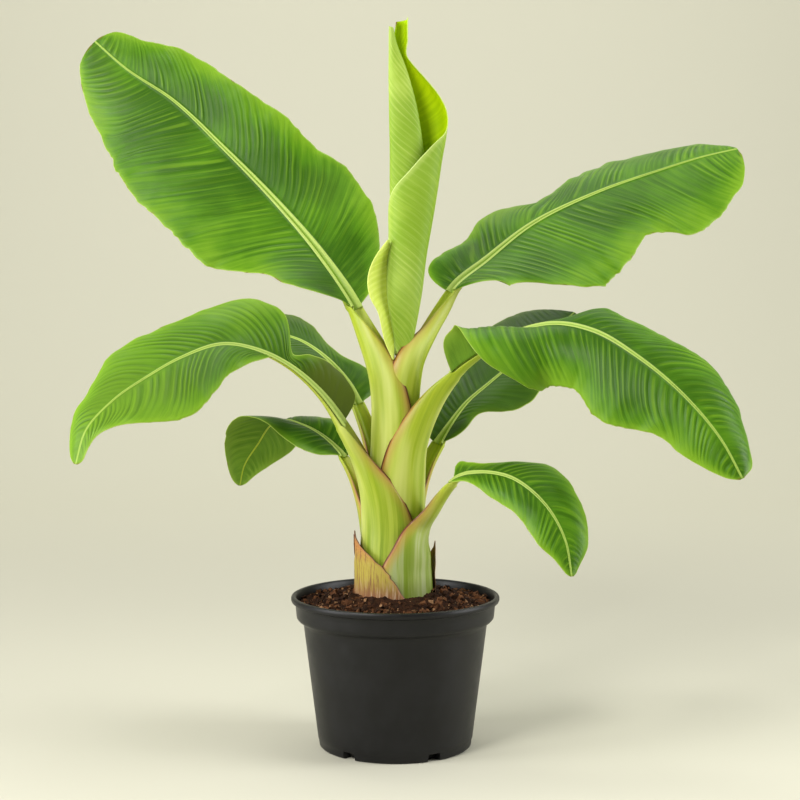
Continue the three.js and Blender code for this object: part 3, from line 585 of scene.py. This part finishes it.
def blade(rib):
    """The whole blade of a leaf: midrib, pleated halves, waves and a slightly ragged margin."""
    leaf = rib.leaf
    length = rib.total - rib.base
    rows = int(length / ROW_STEP)
    columns = 30
    seed = leaf["seed"]
    spread = np.linspace(0, 1, columns + 1)[1:] ** 0.95
    share = np.r_[spread[::-1], np.zeros(len(RIB_COLUMNS)), spread][None, :]
    sign = np.r_[-np.ones(columns), np.sign(RIB_COLUMNS), np.ones(columns)][None, :]
    on_rib = np.r_[np.zeros(columns), np.ones(len(RIB_COLUMNS)), np.zeros(columns)][None, :]
    ride_out = np.r_[np.ones(columns), np.abs(RIB_COLUMNS), np.ones(columns)][None, :]
    lift = np.r_[np.zeros(columns), RIB_LIFT, np.zeros(columns)][None, :]
    right = sign > 0
    s = np.linspace(0, 1, rows)[:, None]
    x = s + VEIN_SLANT * 4 * s * (1 - s) * share ** 1.2
    here, normal, side = rib.frame(x)
    vein = np.broadcast_to(s * length, x.shape)
    across = x * length
    jag = 1 + 0.015 * noise(across / 17, seed, 11) + 0.01 * noise(across / 6, seed, 12)
    width = np.where(right, half_width(leaf["right"], x), half_width(leaf["left"], x)) * jag
    fold = np.where(right, bend(leaf["right"], "fold", x), bend(leaf["left"], "fold", x))[..., None]
    curl = np.where(right, bend(leaf["right"], "curl", x), bend(leaf["left"], "curl", x))[..., None]
    hold = 0.8 * rib.neck(x)
    free = np.maximum(width - hold, 0.3)
    t = (np.arange(CURL_STEPS) + 0.5) / CURL_STEPS
    angle = fold + curl * share[..., None] * t
    out = np.cos(angle).mean(-1) * share * free
    up = np.sin(angle).mean(-1) * share * free
    groove = lift * hold - on_rib * (1 - ride_out ** 2) * 0.5 * hold * np.exp(-x * 16)
    points = here + (sign * (hold * ride_out + out))[..., None] * side
    points = points + (up + groove)[..., None] * normal
    turn = (fold + curl * share[..., None])[..., 0]
    face = np.cos(turn)[..., None] * normal - sign[..., None] * np.sin(turn)[..., None] * side
    # pleats along the side veins, and loose waves towards the margin
    phase = vein / PLEAT_PITCH + 1.2 * noise(vein / 34, 0.3 + right, seed)
    phase = phase + 0.2 * noise(vein / 9, share * 2, seed + 3)
    depth = 0.2 + 0.8 * ramp(noise(vein / 21, share * 1.4 + 3 * right, seed + 20), -0.5, 0.8)
    saw = np.sin(2 * np.pi * phase) + 0.45 * np.sin(4 * np.pi * phase + 0.9)
    saw = saw + 0.2 * np.sin(6 * np.pi * phase)
    calm = ramp(free, 3, 14) * (1 - on_rib)
    strength = depth * ramp(share, 0.02, 0.12) * (1 - 0.8 * ramp(share, 0.45, 0.95))
    waves = 4.5 * share ** 2 * noise(across / 46 + 5 * right, 0.7, seed + 40)
    waves += 1.6 * share ** 3 * noise(across / 16 + 9 * right, 0.2, seed + 41)
    waves += 0.8 * share * noise(across / 22, share * 3, seed + 42)
    points = points + (calm * (waves + PLEAT_HEIGHT * strength * saw))[..., None] * face
    mesh_points, quads, is_under = sheet_mesh(points, 0.9 - 0.4 * share + np.zeros_like(x))
    brown = 0.7 * ramp(x, 0.992, 1.0) * ramp(share, 0.2, 0.5)
    # painted lit patch between the given stations of the blade
    painted_light = 0.34 * ramp(x, *leaf["painted_light"]) if "painted_light" in leaf else 0
    olive = right * ramp(x, leaf["olive"], leaf["olive"] - 0.1) if "olive" in leaf else 0
    speck = ramp(noise(across / 6, 0.1 + right, seed + 60), 0.75, 0.9) * ramp(share, 0.985, 1)
    values = {
        "vein": vein, "across": share + 2 * right, "phase": phase, "strength": strength * calm,
        "share": share, "painted_shade": leaf.get("painted_shade", 0), "olive": olive, "along": x, "painted_light": painted_light,
        "rim_mm": (1 - share) * free, "rib_mm": share * free, "brown": np.maximum(brown, 0.8 * speck),
        "seed": seed * 3.7, "groove": on_rib * (1 - ride_out),
    }
    return make_piece(f"leaf_{leaf['name']}", mesh_points, quads, [leaf_top, leaf_under],
                      both_faces(values, x.shape), is_under)


SHEATH_WALL = 4.5
MIDRIB_SPREAD = 80


def stalk(rib):
    """Sheath, stalk and midrib in one trough-shaped sweep."""
    leaf = rib.leaf
    x = np.r_[np.linspace(-1, 0, 75), np.linspace(0, 0.995, 110)[1:]]
    below = np.minimum(x, 0)
    here, normal, side = rib.frame(x)
    radius = np.where(x <= 0, through(rib.stalk_stations, leaf["radius"], below), rib.neck(x))
    spread = np.radians(np.where(x <= 0, through(rib.stalk_stations, leaf["spread"], below), MIDRIB_SPREAD))
    wall = np.where(x <= 0, np.minimum(radius * 0.55, SHEATH_WALL), radius * 0.6)
    half = 22
    t = np.linspace(-1, 1, half)
    outer = spread[:, None] * t
    thick = wall[:, None] * (0.16 + 0.84 * np.sqrt(1 - 0.98 * t ** 2))

    def ring(angle, reach):
        return (here[:, None] - (np.cos(angle) * reach)[..., None] * normal[:, None]
                + (np.sin(angle) * reach)[..., None] * side[:, None])

    outside = ring(outer, radius[:, None] + 0 * outer)
    inside = ring(outer[:, ::-1], (radius[:, None] - thick)[:, ::-1])
    grid = np.concatenate([outside, inside], 1)
    rows, columns = grid.shape[:2]
    i = np.arange(half - 1)
    last = (rows - 1) * columns
    quads = np.concatenate([
        grid_quads(rows, columns, wrap=True)[:, ::-1],
        np.stack([i, i + 1, columns - 2 - i, columns - 1 - i], -1),
        np.stack([columns - 1 - i, columns - 2 - i, i + 1, i], -1) + last,
    ])
    run = np.where(x <= 0, rib.base * (1 + x), rib.base + x * (rib.total - rib.base))[:, None]
    both = np.concatenate([t, t[::-1]])[None, :]
    half_girth = (spread * radius)[:, None]
    values = {
        "run": run, "turn": both * half_girth, "margin_mm": (1 - np.abs(both)) * half_girth,
        "dry": ramp(x, -0.02, -0.35)[:, None], "seed": leaf["seed"] * 5.3,
        "painted_sheen": leaf.get("painted_sheen", 0.1) * ramp(x, -0.05, -0.5)[:, None],
    }
    return make_piece(f"petiole_{leaf['name']}", grid, quads, [stalk_skin], on_grid(values, (rows, columns)))


STEM_Y = 14


def inner_stem():
    """The core that the sheaths wrap round."""
    height = [165, 172, 200, 250, 300, 350, 385, 410]
    radius = [25, 26, 26, 25, 23, 19, 13, 6]
    low = height[0]
    high = height[-1]
    rows = 60
    sides = 96
    angle = np.linspace(0, 2 * np.pi, sides, endpoint=False)
    level = np.linspace(low, high, rows)[:, None]
    reach = np.interp(level, height, radius)
    grid = np.stack([reach * np.cos(angle), STEM_Y + reach * np.sin(angle), level + 0 * angle], -1)
    mesh_points = np.concatenate([grid.reshape(-1, 3), [[0, STEM_Y, low], [0, STEM_Y, high]]])
    count = rows * sides
    here = np.arange(0, sides, 2)
    middle = here + 1
    after = (here + 2) % sides
    bottom = np.stack([after, middle, here, np.full(len(here), count)], -1)
    top_ring = count - sides
    top = np.stack([here, middle, after, np.full(len(here), count + 1 - top_ring)], -1) + top_ring
    quads = np.concatenate([grid_quads(rows, sides, wrap=True), bottom, top])
    run = np.r_[(level - low + 0 * angle).ravel(), 0, high - low]
    turn = np.r_[np.tile(angle * 25, rows), 0, 0]
    values = on_grid({"run": run, "turn": turn, "margin_mm": 50, "dry": 0, "painted_sheen": 0, "seed": 2}, run.shape)
    piece = make_piece("stem_core", mesh_points, quads, [stalk_skin], values)
    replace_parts(piece, "pseudostem")


# -------- the young leaf

# Both rolls: height, left and right limits in x, half depth, and where the free margin lies,
# in degrees from +X with the front at -90.
ROLL = dict(
    height=[450, 479, 508, 586, 628, 660, 678, 694, 707, 717, 731, 748, 766, 783, 788, 810, 834],
    left=[2, -3, -7, -6, -6, -5, -5, -6, -6, -6, -7, -6, -6, -6, -6, -4, -1],
    right=[16, 22, 27.5, 39, 46, 51, 54, 57, 59, 60, 58, 49, 34, 18.5, 14.5, 14, 14.5],
    depth=[7, 9, 13, 16, 17.5, 18, 18, 18, 18, 18, 17.5, 16, 13, 9, 8, 8, 7],
    margin=[-168, -168, -168, -166, -160, -104, -76, -47, -14, -4, 2, 4, 4, -2, -10, -20, -30],
)
CORE = dict(
    height=[560, 600, 640, 686, 717, 748, 782, 803, 824],
    left=[-3, -4, -5, -5, -5.5, -6, -6.5, -6.5, -6],
    right=[34, 36, 36, 32, 27.5, 21.5, 11, 3, -2],
    depth=[9, 10, 10, 9, 8, 7, 5.5, 4, 2],
    margin=[-190] * 9,
)
ROLL_Y = 15.0
ROLL_PLEAT_PITCH = 8.5
FLAP_PLEAT_PITCH = 7
FLAT_RIB_MM = 30


def scroll(name, table, shift_y, first, grow, seed):
    """A sheet wound round an upright axis, from a hidden start angle to its free margin."""
    height = np.linspace(table["height"][0], table["height"][-1], 140)
    left, right, depth, margin = [through(table["height"], table[key], height)
                                  for key in ("left", "right", "depth", "margin")]
    t = np.linspace(0, 1, 84)[None, :]
    angle = first + (margin[:, None] - first) * t
    turn = (first - angle) / 360
    swell = -2.2 + grow * turn + 0.5 * noise(height[:, None] / 40, angle / 60, seed)
    angle = np.radians(angle)
    middle = 0.5 * (left + right)[:, None]
    reach_x = 0.5 * (right - left)[:, None] + swell
    reach_y = depth[:, None] + swell
    rise = height[:, None] - 5 * (1 - t) * ramp(height[:, None], 780, 834)
    grid = np.stack([middle + reach_x * np.cos(angle), ROLL_Y + shift_y + reach_y * np.sin(angle),
                     rise + 0 * angle], -1)
    slant = height[:, None] - 105 * turn
    loose = 0.4 + 0.6 * ramp(noise(slant / 26, turn * 2, seed + 5), -0.5, 0.8)
    phase = slant / ROLL_PLEAT_PITCH + 0.5 * noise(slant / 30, turn * 2, seed + 1)
    pleat = loose * np.sin(2 * np.pi * phase)
    grid = grid + (0.13 * pleat)[..., None] * grid_normals(grid)
    points, quads, is_under = sheet_mesh(grid, 0.8 + 0 * turn)
    # how far a point is from the free margin, about
    rim = (1 - t) * np.abs(margin[:, None] - first) * 0.017 * (right - left)[:, None] * 0.5
    brown = ramp(height[:, None], 826, 834) * ramp(t, 0.25, 0.05)
    values = {"vein": slant, "across": turn * 3, "phase": phase, "strength": 0.55 * loose,
              "rim_mm": rim, "rib_mm": FLAT_RIB_MM, "brown": brown, "seed": seed}
    piece = make_piece(name, points, quads, [roll_inside, roll_outside],
                       both_faces(values, rim.shape), is_under)
    return piece


def side_flap():
    """The loose base margin of the young leaf, curled out to the left of the roll."""
    stations = [446, 467, 480, 501, 516, 539, 562, 582]
    height = np.linspace(stations[0], stations[-1], 70)[:, None]
    left = through(stations, [-3, -12, -15, -20, -28, -31, -23, -9], height[:, 0])[:, None]
    right = through(stations, [-1, -2, -3, -4, -4, -4, -5, -7], height[:, 0])[:, None]
    t = np.linspace(1, 0, 40)[None, :]
    x = right + (left - right) * (1 - (1 - t) ** 1.6)
    y = 3 + 12 * np.cos(np.pi * t) * ramp(right - left, 0, 22) - 5 * np.sin(np.pi * t)
    grid = np.stack(np.broadcast_arrays(x, y, height), -1)
    slant = height + 14 * t
    points, quads, _ = sheet_mesh(grid, 0.8 + 0 * slant)
    values = {"vein": slant, "across": 1 - t, "phase": slant / FLAP_PLEAT_PITCH, "strength": 0.5,
              "rim_mm": (1 - t) * (right - left), "rib_mm": FLAT_RIB_MM, "seed": 3}
    piece = make_piece("young_leaf_flap", points, quads, [flap_skin], both_faces(values, slant.shape))
    return piece


# -------- old sheaths round the foot

STEM_FOOT_Y = 10.0
OLD_SHEATH_FOOT = 170
OLD_SHEATH_HEIGHT = 75
# Heights, both limits round the stem in degrees from +X, how far the sheath stands off the
# stem's axis, and how far it sits towards the front.
OLD_SHEATHS = [
    dict(name="front", height=[170, 190, 202, 213, 226, 240, 248],
         first=[-73, -86, -96, -110, -132, -158, -173],
         last=[-215, -212, -208, -204, -198, -190, -182], off=47.2, forward=4.4, seed=3),
    dict(name="left", height=[170, 200, 222, 238, 243], first=[-190, -190, -188, -184, -184],
         last=[-245, -235, -215, -194, -190], off=48.0, seed=5),
    dict(name="right", height=[170, 200, 218, 230, 235], first=[60, 46, 30, 10, 4],
         last=[-7, -5, -3, -2, -1], off=46.6, seed=9),
]


def old_sheath(sheath):
    """One dry, ragged remnant of a sheath, standing close round the foot of the stem."""
    seed = sheath["seed"]
    height = np.linspace(sheath["height"][0], sheath["height"][-1], 60)[:, None]
    first = through(sheath["height"], sheath["first"], height[:, 0])[:, None]
    last = through(sheath["height"], sheath["last"], height[:, 0])[:, None]
    t = np.linspace(1, 0, 50)[None, :]
    ragged = 3.0 * noise(height / 9, 0.3, seed) + 1.5 * noise(height / 3.5, 0.7, seed)
    angle = np.radians(first + ragged * (1 - t) + (last - first) * t)
    rise = (height - OLD_SHEATH_FOOT) / OLD_SHEATH_HEIGHT
    loose = 0.8 * noise(height / 14, t * 4, seed + 2) + 2.2 * rise ** 2
    wrinkle = 0.22 * np.sin(t * 60 + 2 * noise(height / 20, t * 3, seed + 4))
    reach = sheath["off"] - 2.6 * rise + loose + wrinkle
    centre_y = STEM_FOOT_Y - sheath.get("forward", 0)
    grid = np.stack(np.broadcast_arrays(reach * np.cos(angle), centre_y + reach * 0.93 * np.sin(angle),
                                        height), -1)
    points, quads, _ = sheet_mesh(grid, 0.7 + 0 * reach)
    margin = np.minimum(t, 1 - t) * np.abs(np.radians(last - first)) * sheath["off"]
    values = both_faces({"rise": rise, "turn": angle * 46, "margin_mm": margin}, margin.shape)
    piece = make_piece(f"old_sheath_{sheath['name']}_skin", points, quads, [dry_skin], values)
    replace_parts(piece, f"old_sheath_{sheath['name']}")


# -------- pot and soil

POT_PROFILE = [
    (0, 0), (60, 0), (83, 0), (86, 0.5), (87.6, 2), (88, 4), (88.6, 9.4), (89.3, 10.2), (92.5, 36),
    (96, 64), (99.5, 92), (103, 120), (105.6, 141), (106.4, 143.4), (108.6, 145.6), (111.6, 147.4),
    (113.4, 149.6), (113.9, 152), (115, 165.4), (115.6, 166.8), (117.4, 167.5), (119.2, 168.4),
    (120, 170.2), (120, 172.4), (119.2, 174.1), (117.4, 175), (115.6, 174.7), (114.4, 173.4),
    (113.6, 170), (112.4, 166), (111, 152), (109, 148), (103, 142), (86, 12), (0, 12),
]
POT_SIDES = 512
POT_FOOT_RADIUS = 88
NOTCH_ANGLES = [-126, -60, 0, 60, 120, 180]
NOTCH_HALF = 7.4
NOTCH_HEIGHT = 9.0
NOTCH_INNER_RADIUS = 76


def refine(profile, step):
    """The profile with points added so that none are further apart than about one step."""
    out = [profile[0]]
    for a, b in zip(profile, profile[1:]):
        count = max(1, int(math.dist(a, b) / step))
        out += [tuple(a[k] + (b[k] - a[k]) * (i + 1) / count for k in (0, 1)) for i in range(count)]
    return np.array(out)


def pot():
    """The turned shell of the pot, with notches cut up into the edge of its foot."""
    profile = refine(POT_PROFILE, 6.0)
    angle = np.linspace(0, 2 * np.pi, POT_SIDES, endpoint=False)
    r = profile[:, 0][:, None] + 0 * angle
    z = profile[:, 1][:, None] + 0 * angle
    outer = (np.arange(len(profile)) < np.argmax(profile[:, 1]))[:, None]
    for notch in NOTCH_ANGLES:
        across = (np.degrees(angle) - notch + 180) % 360 - 180
        inside = np.abs(np.radians(across)) * POT_FOOT_RADIUS < NOTCH_HALF
        z = np.where(outer & inside & (r > NOTCH_INNER_RADIUS) & (z < NOTCH_HEIGHT), NOTCH_HEIGHT, z)
    grid = np.stack([r * np.cos(angle), r * np.sin(angle), z], -1)
    piece = make_piece("pot_shell", grid, grid_quads(*grid.shape[:2], wrap=True), [pot_plastic])
    piece.data.set_sharp_from_angle(angle=math.radians(38))
    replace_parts(piece, "pot")


SOIL_INNER_RADIUS = 28
SOIL_OUTER_RADIUS = 111
SOIL_UNDERSIDE = 150


def soil_height(x, y):
    """Height of the lumpy potting mix, mounded a little towards the stem."""
    r = np.hypot(x, y)
    base = through([0, 45, 60, 80, 100, 112], [177, 176, 173.5, 169.5, 166.5, 165.5], r)
    lumps = 1.9 * noise(x / 13, y / 13, 1) + 1.3 * noise(x / 6, y / 6, 2) + 0.8 * noise(x / 2.8, y / 2.8, 3)
    return base + lumps + 0.45 * noise(x / 1.5, y / 1.5, 4)


def soil():
    """The surface of the potting mix, a thick ring round the stem."""
    radius = np.linspace(SOIL_INNER_RADIUS, SOIL_OUTER_RADIUS, 66)[:, None]
    angle = np.linspace(0, 2 * np.pi, 380, endpoint=False)[None, :]
    x = radius * np.cos(angle)
    y = radius * np.sin(angle)
    top = np.stack([x, y, soil_height(x, y)], -1)
    low = top[::-1].copy()
    low[..., 2] = SOIL_UNDERSIDE
    grid = np.concatenate([top, low])
    quads = grid_quads(*grid.shape[:2], wrap=True)
    last = (len(grid) - 1) * grid.shape[1]
    around = np.arange(grid.shape[1])
    after = np.roll(around, -1)
    close = np.stack([last + around, last + after, after, around], -1)
    piece = make_piece("soil_surface", grid, np.concatenate([quads, close]), [peat])
    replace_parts(piece, "soil")


CRUMB_CORNERS = np.array([[-1, -1, -1], [1, -1, -1], [1, 1, -1], [-1, 1, -1],
                          [-1, -1, 1], [1, -1, 1], [1, 1, 1], [-1, 1, 1]])
CRUMB_FACES = np.array([[3, 2, 1, 0], [4, 5, 6, 7], [0, 1, 5, 4], [1, 2, 6, 5], [2, 3, 7, 6], [3, 0, 4, 7]])
CRUMB_INNER_RADIUS = 42
CRUMB_RING_WIDTH = 68


def crumbs(name, count, smallest, largest, flat, material):
    """Loose bits of bark or peat on the soil, joined into one piece."""
    points = []
    for _ in range(count):
        radius = CRUMB_INNER_RADIUS + CRUMB_RING_WIDTH * math.sqrt(rng.random())
        turn = rng.random() * 2 * math.pi
        x = radius * math.cos(turn)
        y = radius * math.sin(turn)
        size = smallest + (largest - smallest) * rng.random() ** 2.5
        sides = np.array([1, 0.45 + 0.5 * rng.random(), flat * (0.5 + rng.random())])
        shape = CRUMB_CORNERS * sides * size * 0.5
        shape = shape * (1 + 0.35 * rng.uniform(-1, 1, (8, 3)))
        axis = unit(rng.normal(size=(3, 3)) * np.array([1, 1, 0.5]))
        first = axis[0]
        second = unit(np.cross(axis[1], first))
        third = np.cross(first, second)
        height = float(soil_height(np.array(x), np.array(y)))
        points.append(shape @ np.stack([first, second, third]) + np.array([x, y, height + 0.2 * size]))
    points = np.array(points)
    quads = (np.arange(count)[:, None, None] * 8 + CRUMB_FACES[None]).reshape(-1, 4)
    piece = make_piece(name, points, quads, [material])
    piece.data.set_sharp_from_angle(angle=math.radians(30))


# -------- more materials

def plastic_material():
    """Black moulded plastic with a fine grain and faint scuffs."""
    n = Nodes("pot_plastic", IOR=1.46, Specular_IOR_Level=0.34)
    grain = n.noise(n.place(), 900.0, 2.0)
    scuff = n.noise(n.place(), 34.0, 5.0, 0.6)
    colour = n.tint((0.003, 0.003, 0.0035), (0.006, 0.006, 0.0068), scuff, 0.35, 0.7)
    n.bump(grain, 0.12, 0.0004)
    return n.finish(colour, n.range(scuff, 0.3, 0.7, 0.38, 0.48))


def crumb_material(name, dark, light):
    """Peat or bark: rough, with fine and coarse spots."""
    n = Nodes(name, Roughness=0.8, Specular_IOR_Level=0.12)
    spots = n.noise(n.place(), 260.0, 4.0, 0.7)
    coarse = n.noise(n.place(), 78.0, 3.0, 0.6)
    colour = n.tint(dark, light, spots, 0.3, 0.7)
    colour = n.tint(colour, dark, coarse, 0.45, 0.7, 0.5)
    n.bump(spots, 0.6, 0.0012)
    return n.finish(colour)


def dry_material():
    """Dry sheath: yellowish in the middle, brown at foot, tip and margin, with long streaks."""
    n = Nodes("dry_sheath_skin", Roughness=0.62)
    turn = n.value("turn")
    rise = n.value("rise")
    side = n.value("margin_mm")
    streak = n.streaks(turn, 0.45, rise, 2.0, roughness=0.65)
    fine = n.streaks(turn, 2.0, rise, 6.0, detail=2.0, roughness=0.55)
    colour = n.tint((0.24, 0.095, 0.03), (0.40, 0.31, 0.035), rise, 0.05, 0.42)
    colour = n.tint(colour, (0.44, 0.19, 0.04), rise, 0.55, 0.85)
    colour = n.tint(colour, (0.12, 0.04, 0.02), rise, 0.88, 0.99)
    pale = n.times(n.range(streak, 0.52, 0.64), n.range(rise, 0.42, 0.16))
    colour = n.mix(n.times(pale, 0.85), colour, (0.52, 0.36, 0.24))
    colour = n.tint(colour, (0.17, 0.05, 0.02), streak, 0.48, 0.38, 0.75)
    colour = n.tint(colour, (0.60, 0.50, 0.16), fine, 0.55, 0.8, 0.35)
    colour = n.tint(colour, (0.40, 0.17, 0.07), side, 5.0, 1.5, 0.5)
    colour = n.tint(colour, (0.10, 0.035, 0.015), side, 1.6, 0.5, 0.85)
    n.bump(fine, 0.5, 0.0008)
    return n.finish(colour)


roll_outside = leaf_material(
    "young_leaf_outside", dark=(0.21, 0.35, 0.025), mid=(0.34, 0.48, 0.060), light=(0.60, 0.70, 0.22),
    edge=(0.60, 0.74, 0.26), rough=0.42, relief=0.0004, pale=(0.50, 0.60, 0.20))
roll_inside = leaf_material(
    "young_leaf_inside", dark=(0.34, 0.53, 0.002), mid=(0.52, 0.70, 0.003), light=(0.62, 0.78, 0.01),
    edge=(0.58, 0.72, 0.20), rough=0.45, relief=0.0004, sheen=0.06, pale=(0.58, 0.74, 0.02))
flap_skin = leaf_material(
    "young_leaf_flap_skin", dark=(0.48, 0.60, 0.05), mid=(0.62, 0.72, 0.11), light=(0.74, 0.82, 0.26),
    edge=(0.66, 0.78, 0.30), rough=0.42, relief=0.0004, pale=(0.66, 0.76, 0.20))
pot_plastic = plastic_material()
peat = crumb_material("peat", (0.010, 0.0035, 0.0015), (0.045, 0.016, 0.006))
bark_dark = crumb_material("bark_dark", (0.012, 0.005, 0.0025), (0.045, 0.018, 0.008))
bark_brown = crumb_material("bark_brown", (0.060, 0.023, 0.009), (0.150, 0.062, 0.025))
bark_tan = crumb_material("bark_tan", (0.20, 0.10, 0.045), (0.38, 0.22, 0.11))
dry_skin = dry_material()


# -------- assembly

pot()
soil()
crumbs("bark_bits_dark", count=900, smallest=1.5, largest=7.0, flat=0.45, material=bark_dark)
crumbs("bark_bits_brown", count=620, smallest=1.2, largest=7.5, flat=0.4, material=bark_brown)
crumbs("bark_bits_tan", count=330, smallest=0.9, largest=5.0, flat=0.3, material=bark_tan)
inner_stem()
for sheath in OLD_SHEATHS:
    old_sheath(sheath)
roll = scroll("young_leaf_wrap", ROLL, shift_y=0, first=200, grow=4.5, seed=21)
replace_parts(roll, "rolled_leaf")
scroll("young_leaf_core", CORE, shift_y=-5, first=190, grow=3.0, seed=22)
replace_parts(side_flap(), "rolled_leaf_flap")
for leaf in LEAVES:
    leaf_name = leaf["name"]
    rib = Rib(leaf)
    piece = blade(rib)
    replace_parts(piece, *[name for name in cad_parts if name.startswith(f"blade_{leaf_name}")])
    piece = stalk(rib)
    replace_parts(piece, f"stalk_{leaf_name}")


# -------- stage, light and camera

def area_light(name, place, target, size, power, colour=(1, 1, 1)):
    light = bpy.data.lights.new(name, "AREA")
    light.shape = "RECTANGLE"
    light.size, light.size_y = size
    light.energy = power
    light.color = colour
    lamp = bpy.data.objects.new(name, light)
    lamp.location = place
    lamp.rotation_euler = (Vector(target) - Vector(place)).to_track_quat("-Z", "Y").to_euler()
    bpy.context.scene.collection.objects.link(lamp)


FLOOR_FRONT = -6
FLOOR_BACK = 2.2
BACKDROP_CURVE = 2.5
BACKDROP_TOP = 8
FLOOR_HALF_WIDTH = 9
PAPER_NEAR = ((0.585, 0.570, 0.470), (0.600, 0.585, 0.482))
PAPER_FAR_SHADE = (0.515, 0.502, 0.410)
PAPER_WALL_LIT = (0.635, 0.620, 0.500)


def stage():
    """A pale floor that curves up into a backdrop, with painted shade on the floor away from a spot just in
    front of the pot, and the back of the floor and the backdrop painted lighter.
    """
    bend_angle = np.linspace(0.1, np.pi / 2, 14)
    depth = np.r_[np.linspace(FLOOR_FRONT, FLOOR_BACK, 12), FLOOR_BACK + BACKDROP_CURVE * np.sin(bend_angle),
                  FLOOR_BACK + BACKDROP_CURVE]
    height = np.r_[np.zeros(12), BACKDROP_CURVE * (1 - np.cos(bend_angle)), BACKDROP_TOP]
    width = np.linspace(-FLOOR_HALF_WIDTH, FLOOR_HALF_WIDTH, 7)
    grid = np.stack(np.broadcast_arrays(width[None, :], depth[:, None], height[:, None]), -1)
    mesh = bpy.data.meshes.new("studio_floor")
    mesh.from_pydata([tuple(p) for p in grid.reshape(-1, 3)], [],
                     [tuple(int(k) for k in q) for q in grid_quads(*grid.shape[:2])])
    mesh.polygons.foreach_set("use_smooth", np.ones(len(mesh.polygons), bool))
    n = Nodes("studio_paper", Roughness=0.85, Specular_IOR_Level=0.1)
    place = n.place()
    split = n.add("ShaderNodeSeparateXYZ")
    n.link(place, split.inputs[0])
    away = n.math("POWER", n.math("ADD", split.outputs[1], 0.75), 2.0)
    aside = n.math("POWER", n.times(split.outputs[0], 1.1), 2.0)
    far = n.range(n.math("SQRT", n.math("ADD", away, aside)), 0.35, 1.7)
    colour = n.mix(n.noise(place, 3.0, 2.0), *PAPER_NEAR)
    # painted shade: the floor darker away from a spot just in front of the pot
    colour = n.mix(far, colour, PAPER_FAR_SHADE)
    # painted light: the back of the floor and the backdrop painted lighter
    colour = n.tint(colour, PAPER_WALL_LIT, split.outputs[1], 0.8, 2.4)
    mesh.materials.append(n.finish(colour))
    floor = bpy.data.objects.new("studio_floor", mesh)
    bpy.context.scene.collection.objects.link(floor)


stage()
area_light("key", (-1.9, -2.5, 2.4), (0, 0, 0.45), (1.2, 1.2), 94, (1, 0.985, 0.95))
area_light("left", (-2.25, -0.75, 0.95), (0, 0, 0.35), (1.0, 1.8), 48)
area_light("right", (2.3, -0.3, 1.05), (0, 0, 0.35), (1.1, 2.0), 54)
area_light("top", (0.3, 0.3, 2.9), (0, 0, 0.4), (2.0, 1.2), 24)
area_light("wall", (0, 3.0, 4.6), (0, 5.2, 1.4), (6.0, 1.0), 108)

world = bpy.data.worlds.new("studio")
world.use_nodes = True
background = world.node_tree.nodes["Background"]
background.inputs["Color"].default_value = (0.87, 0.88, 0.82, 1)
background.inputs["Strength"].default_value = 0.36
bpy.context.scene.world = world
bpy.context.scene.view_settings.view_transform = "Standard"

camera_data = bpy.data.cameras.new("camera")
camera_data.lens = 76.05
camera_data.sensor_width = 36
camera = bpy.data.objects.new("camera", camera_data)
camera.location = (0.0054, -1.931, 0.523)
camera.rotation_euler = (math.radians(90 - 3.66), 0, 0)
bpy.context.scene.collection.objects.link(camera)
bpy.context.scene.camera = camera
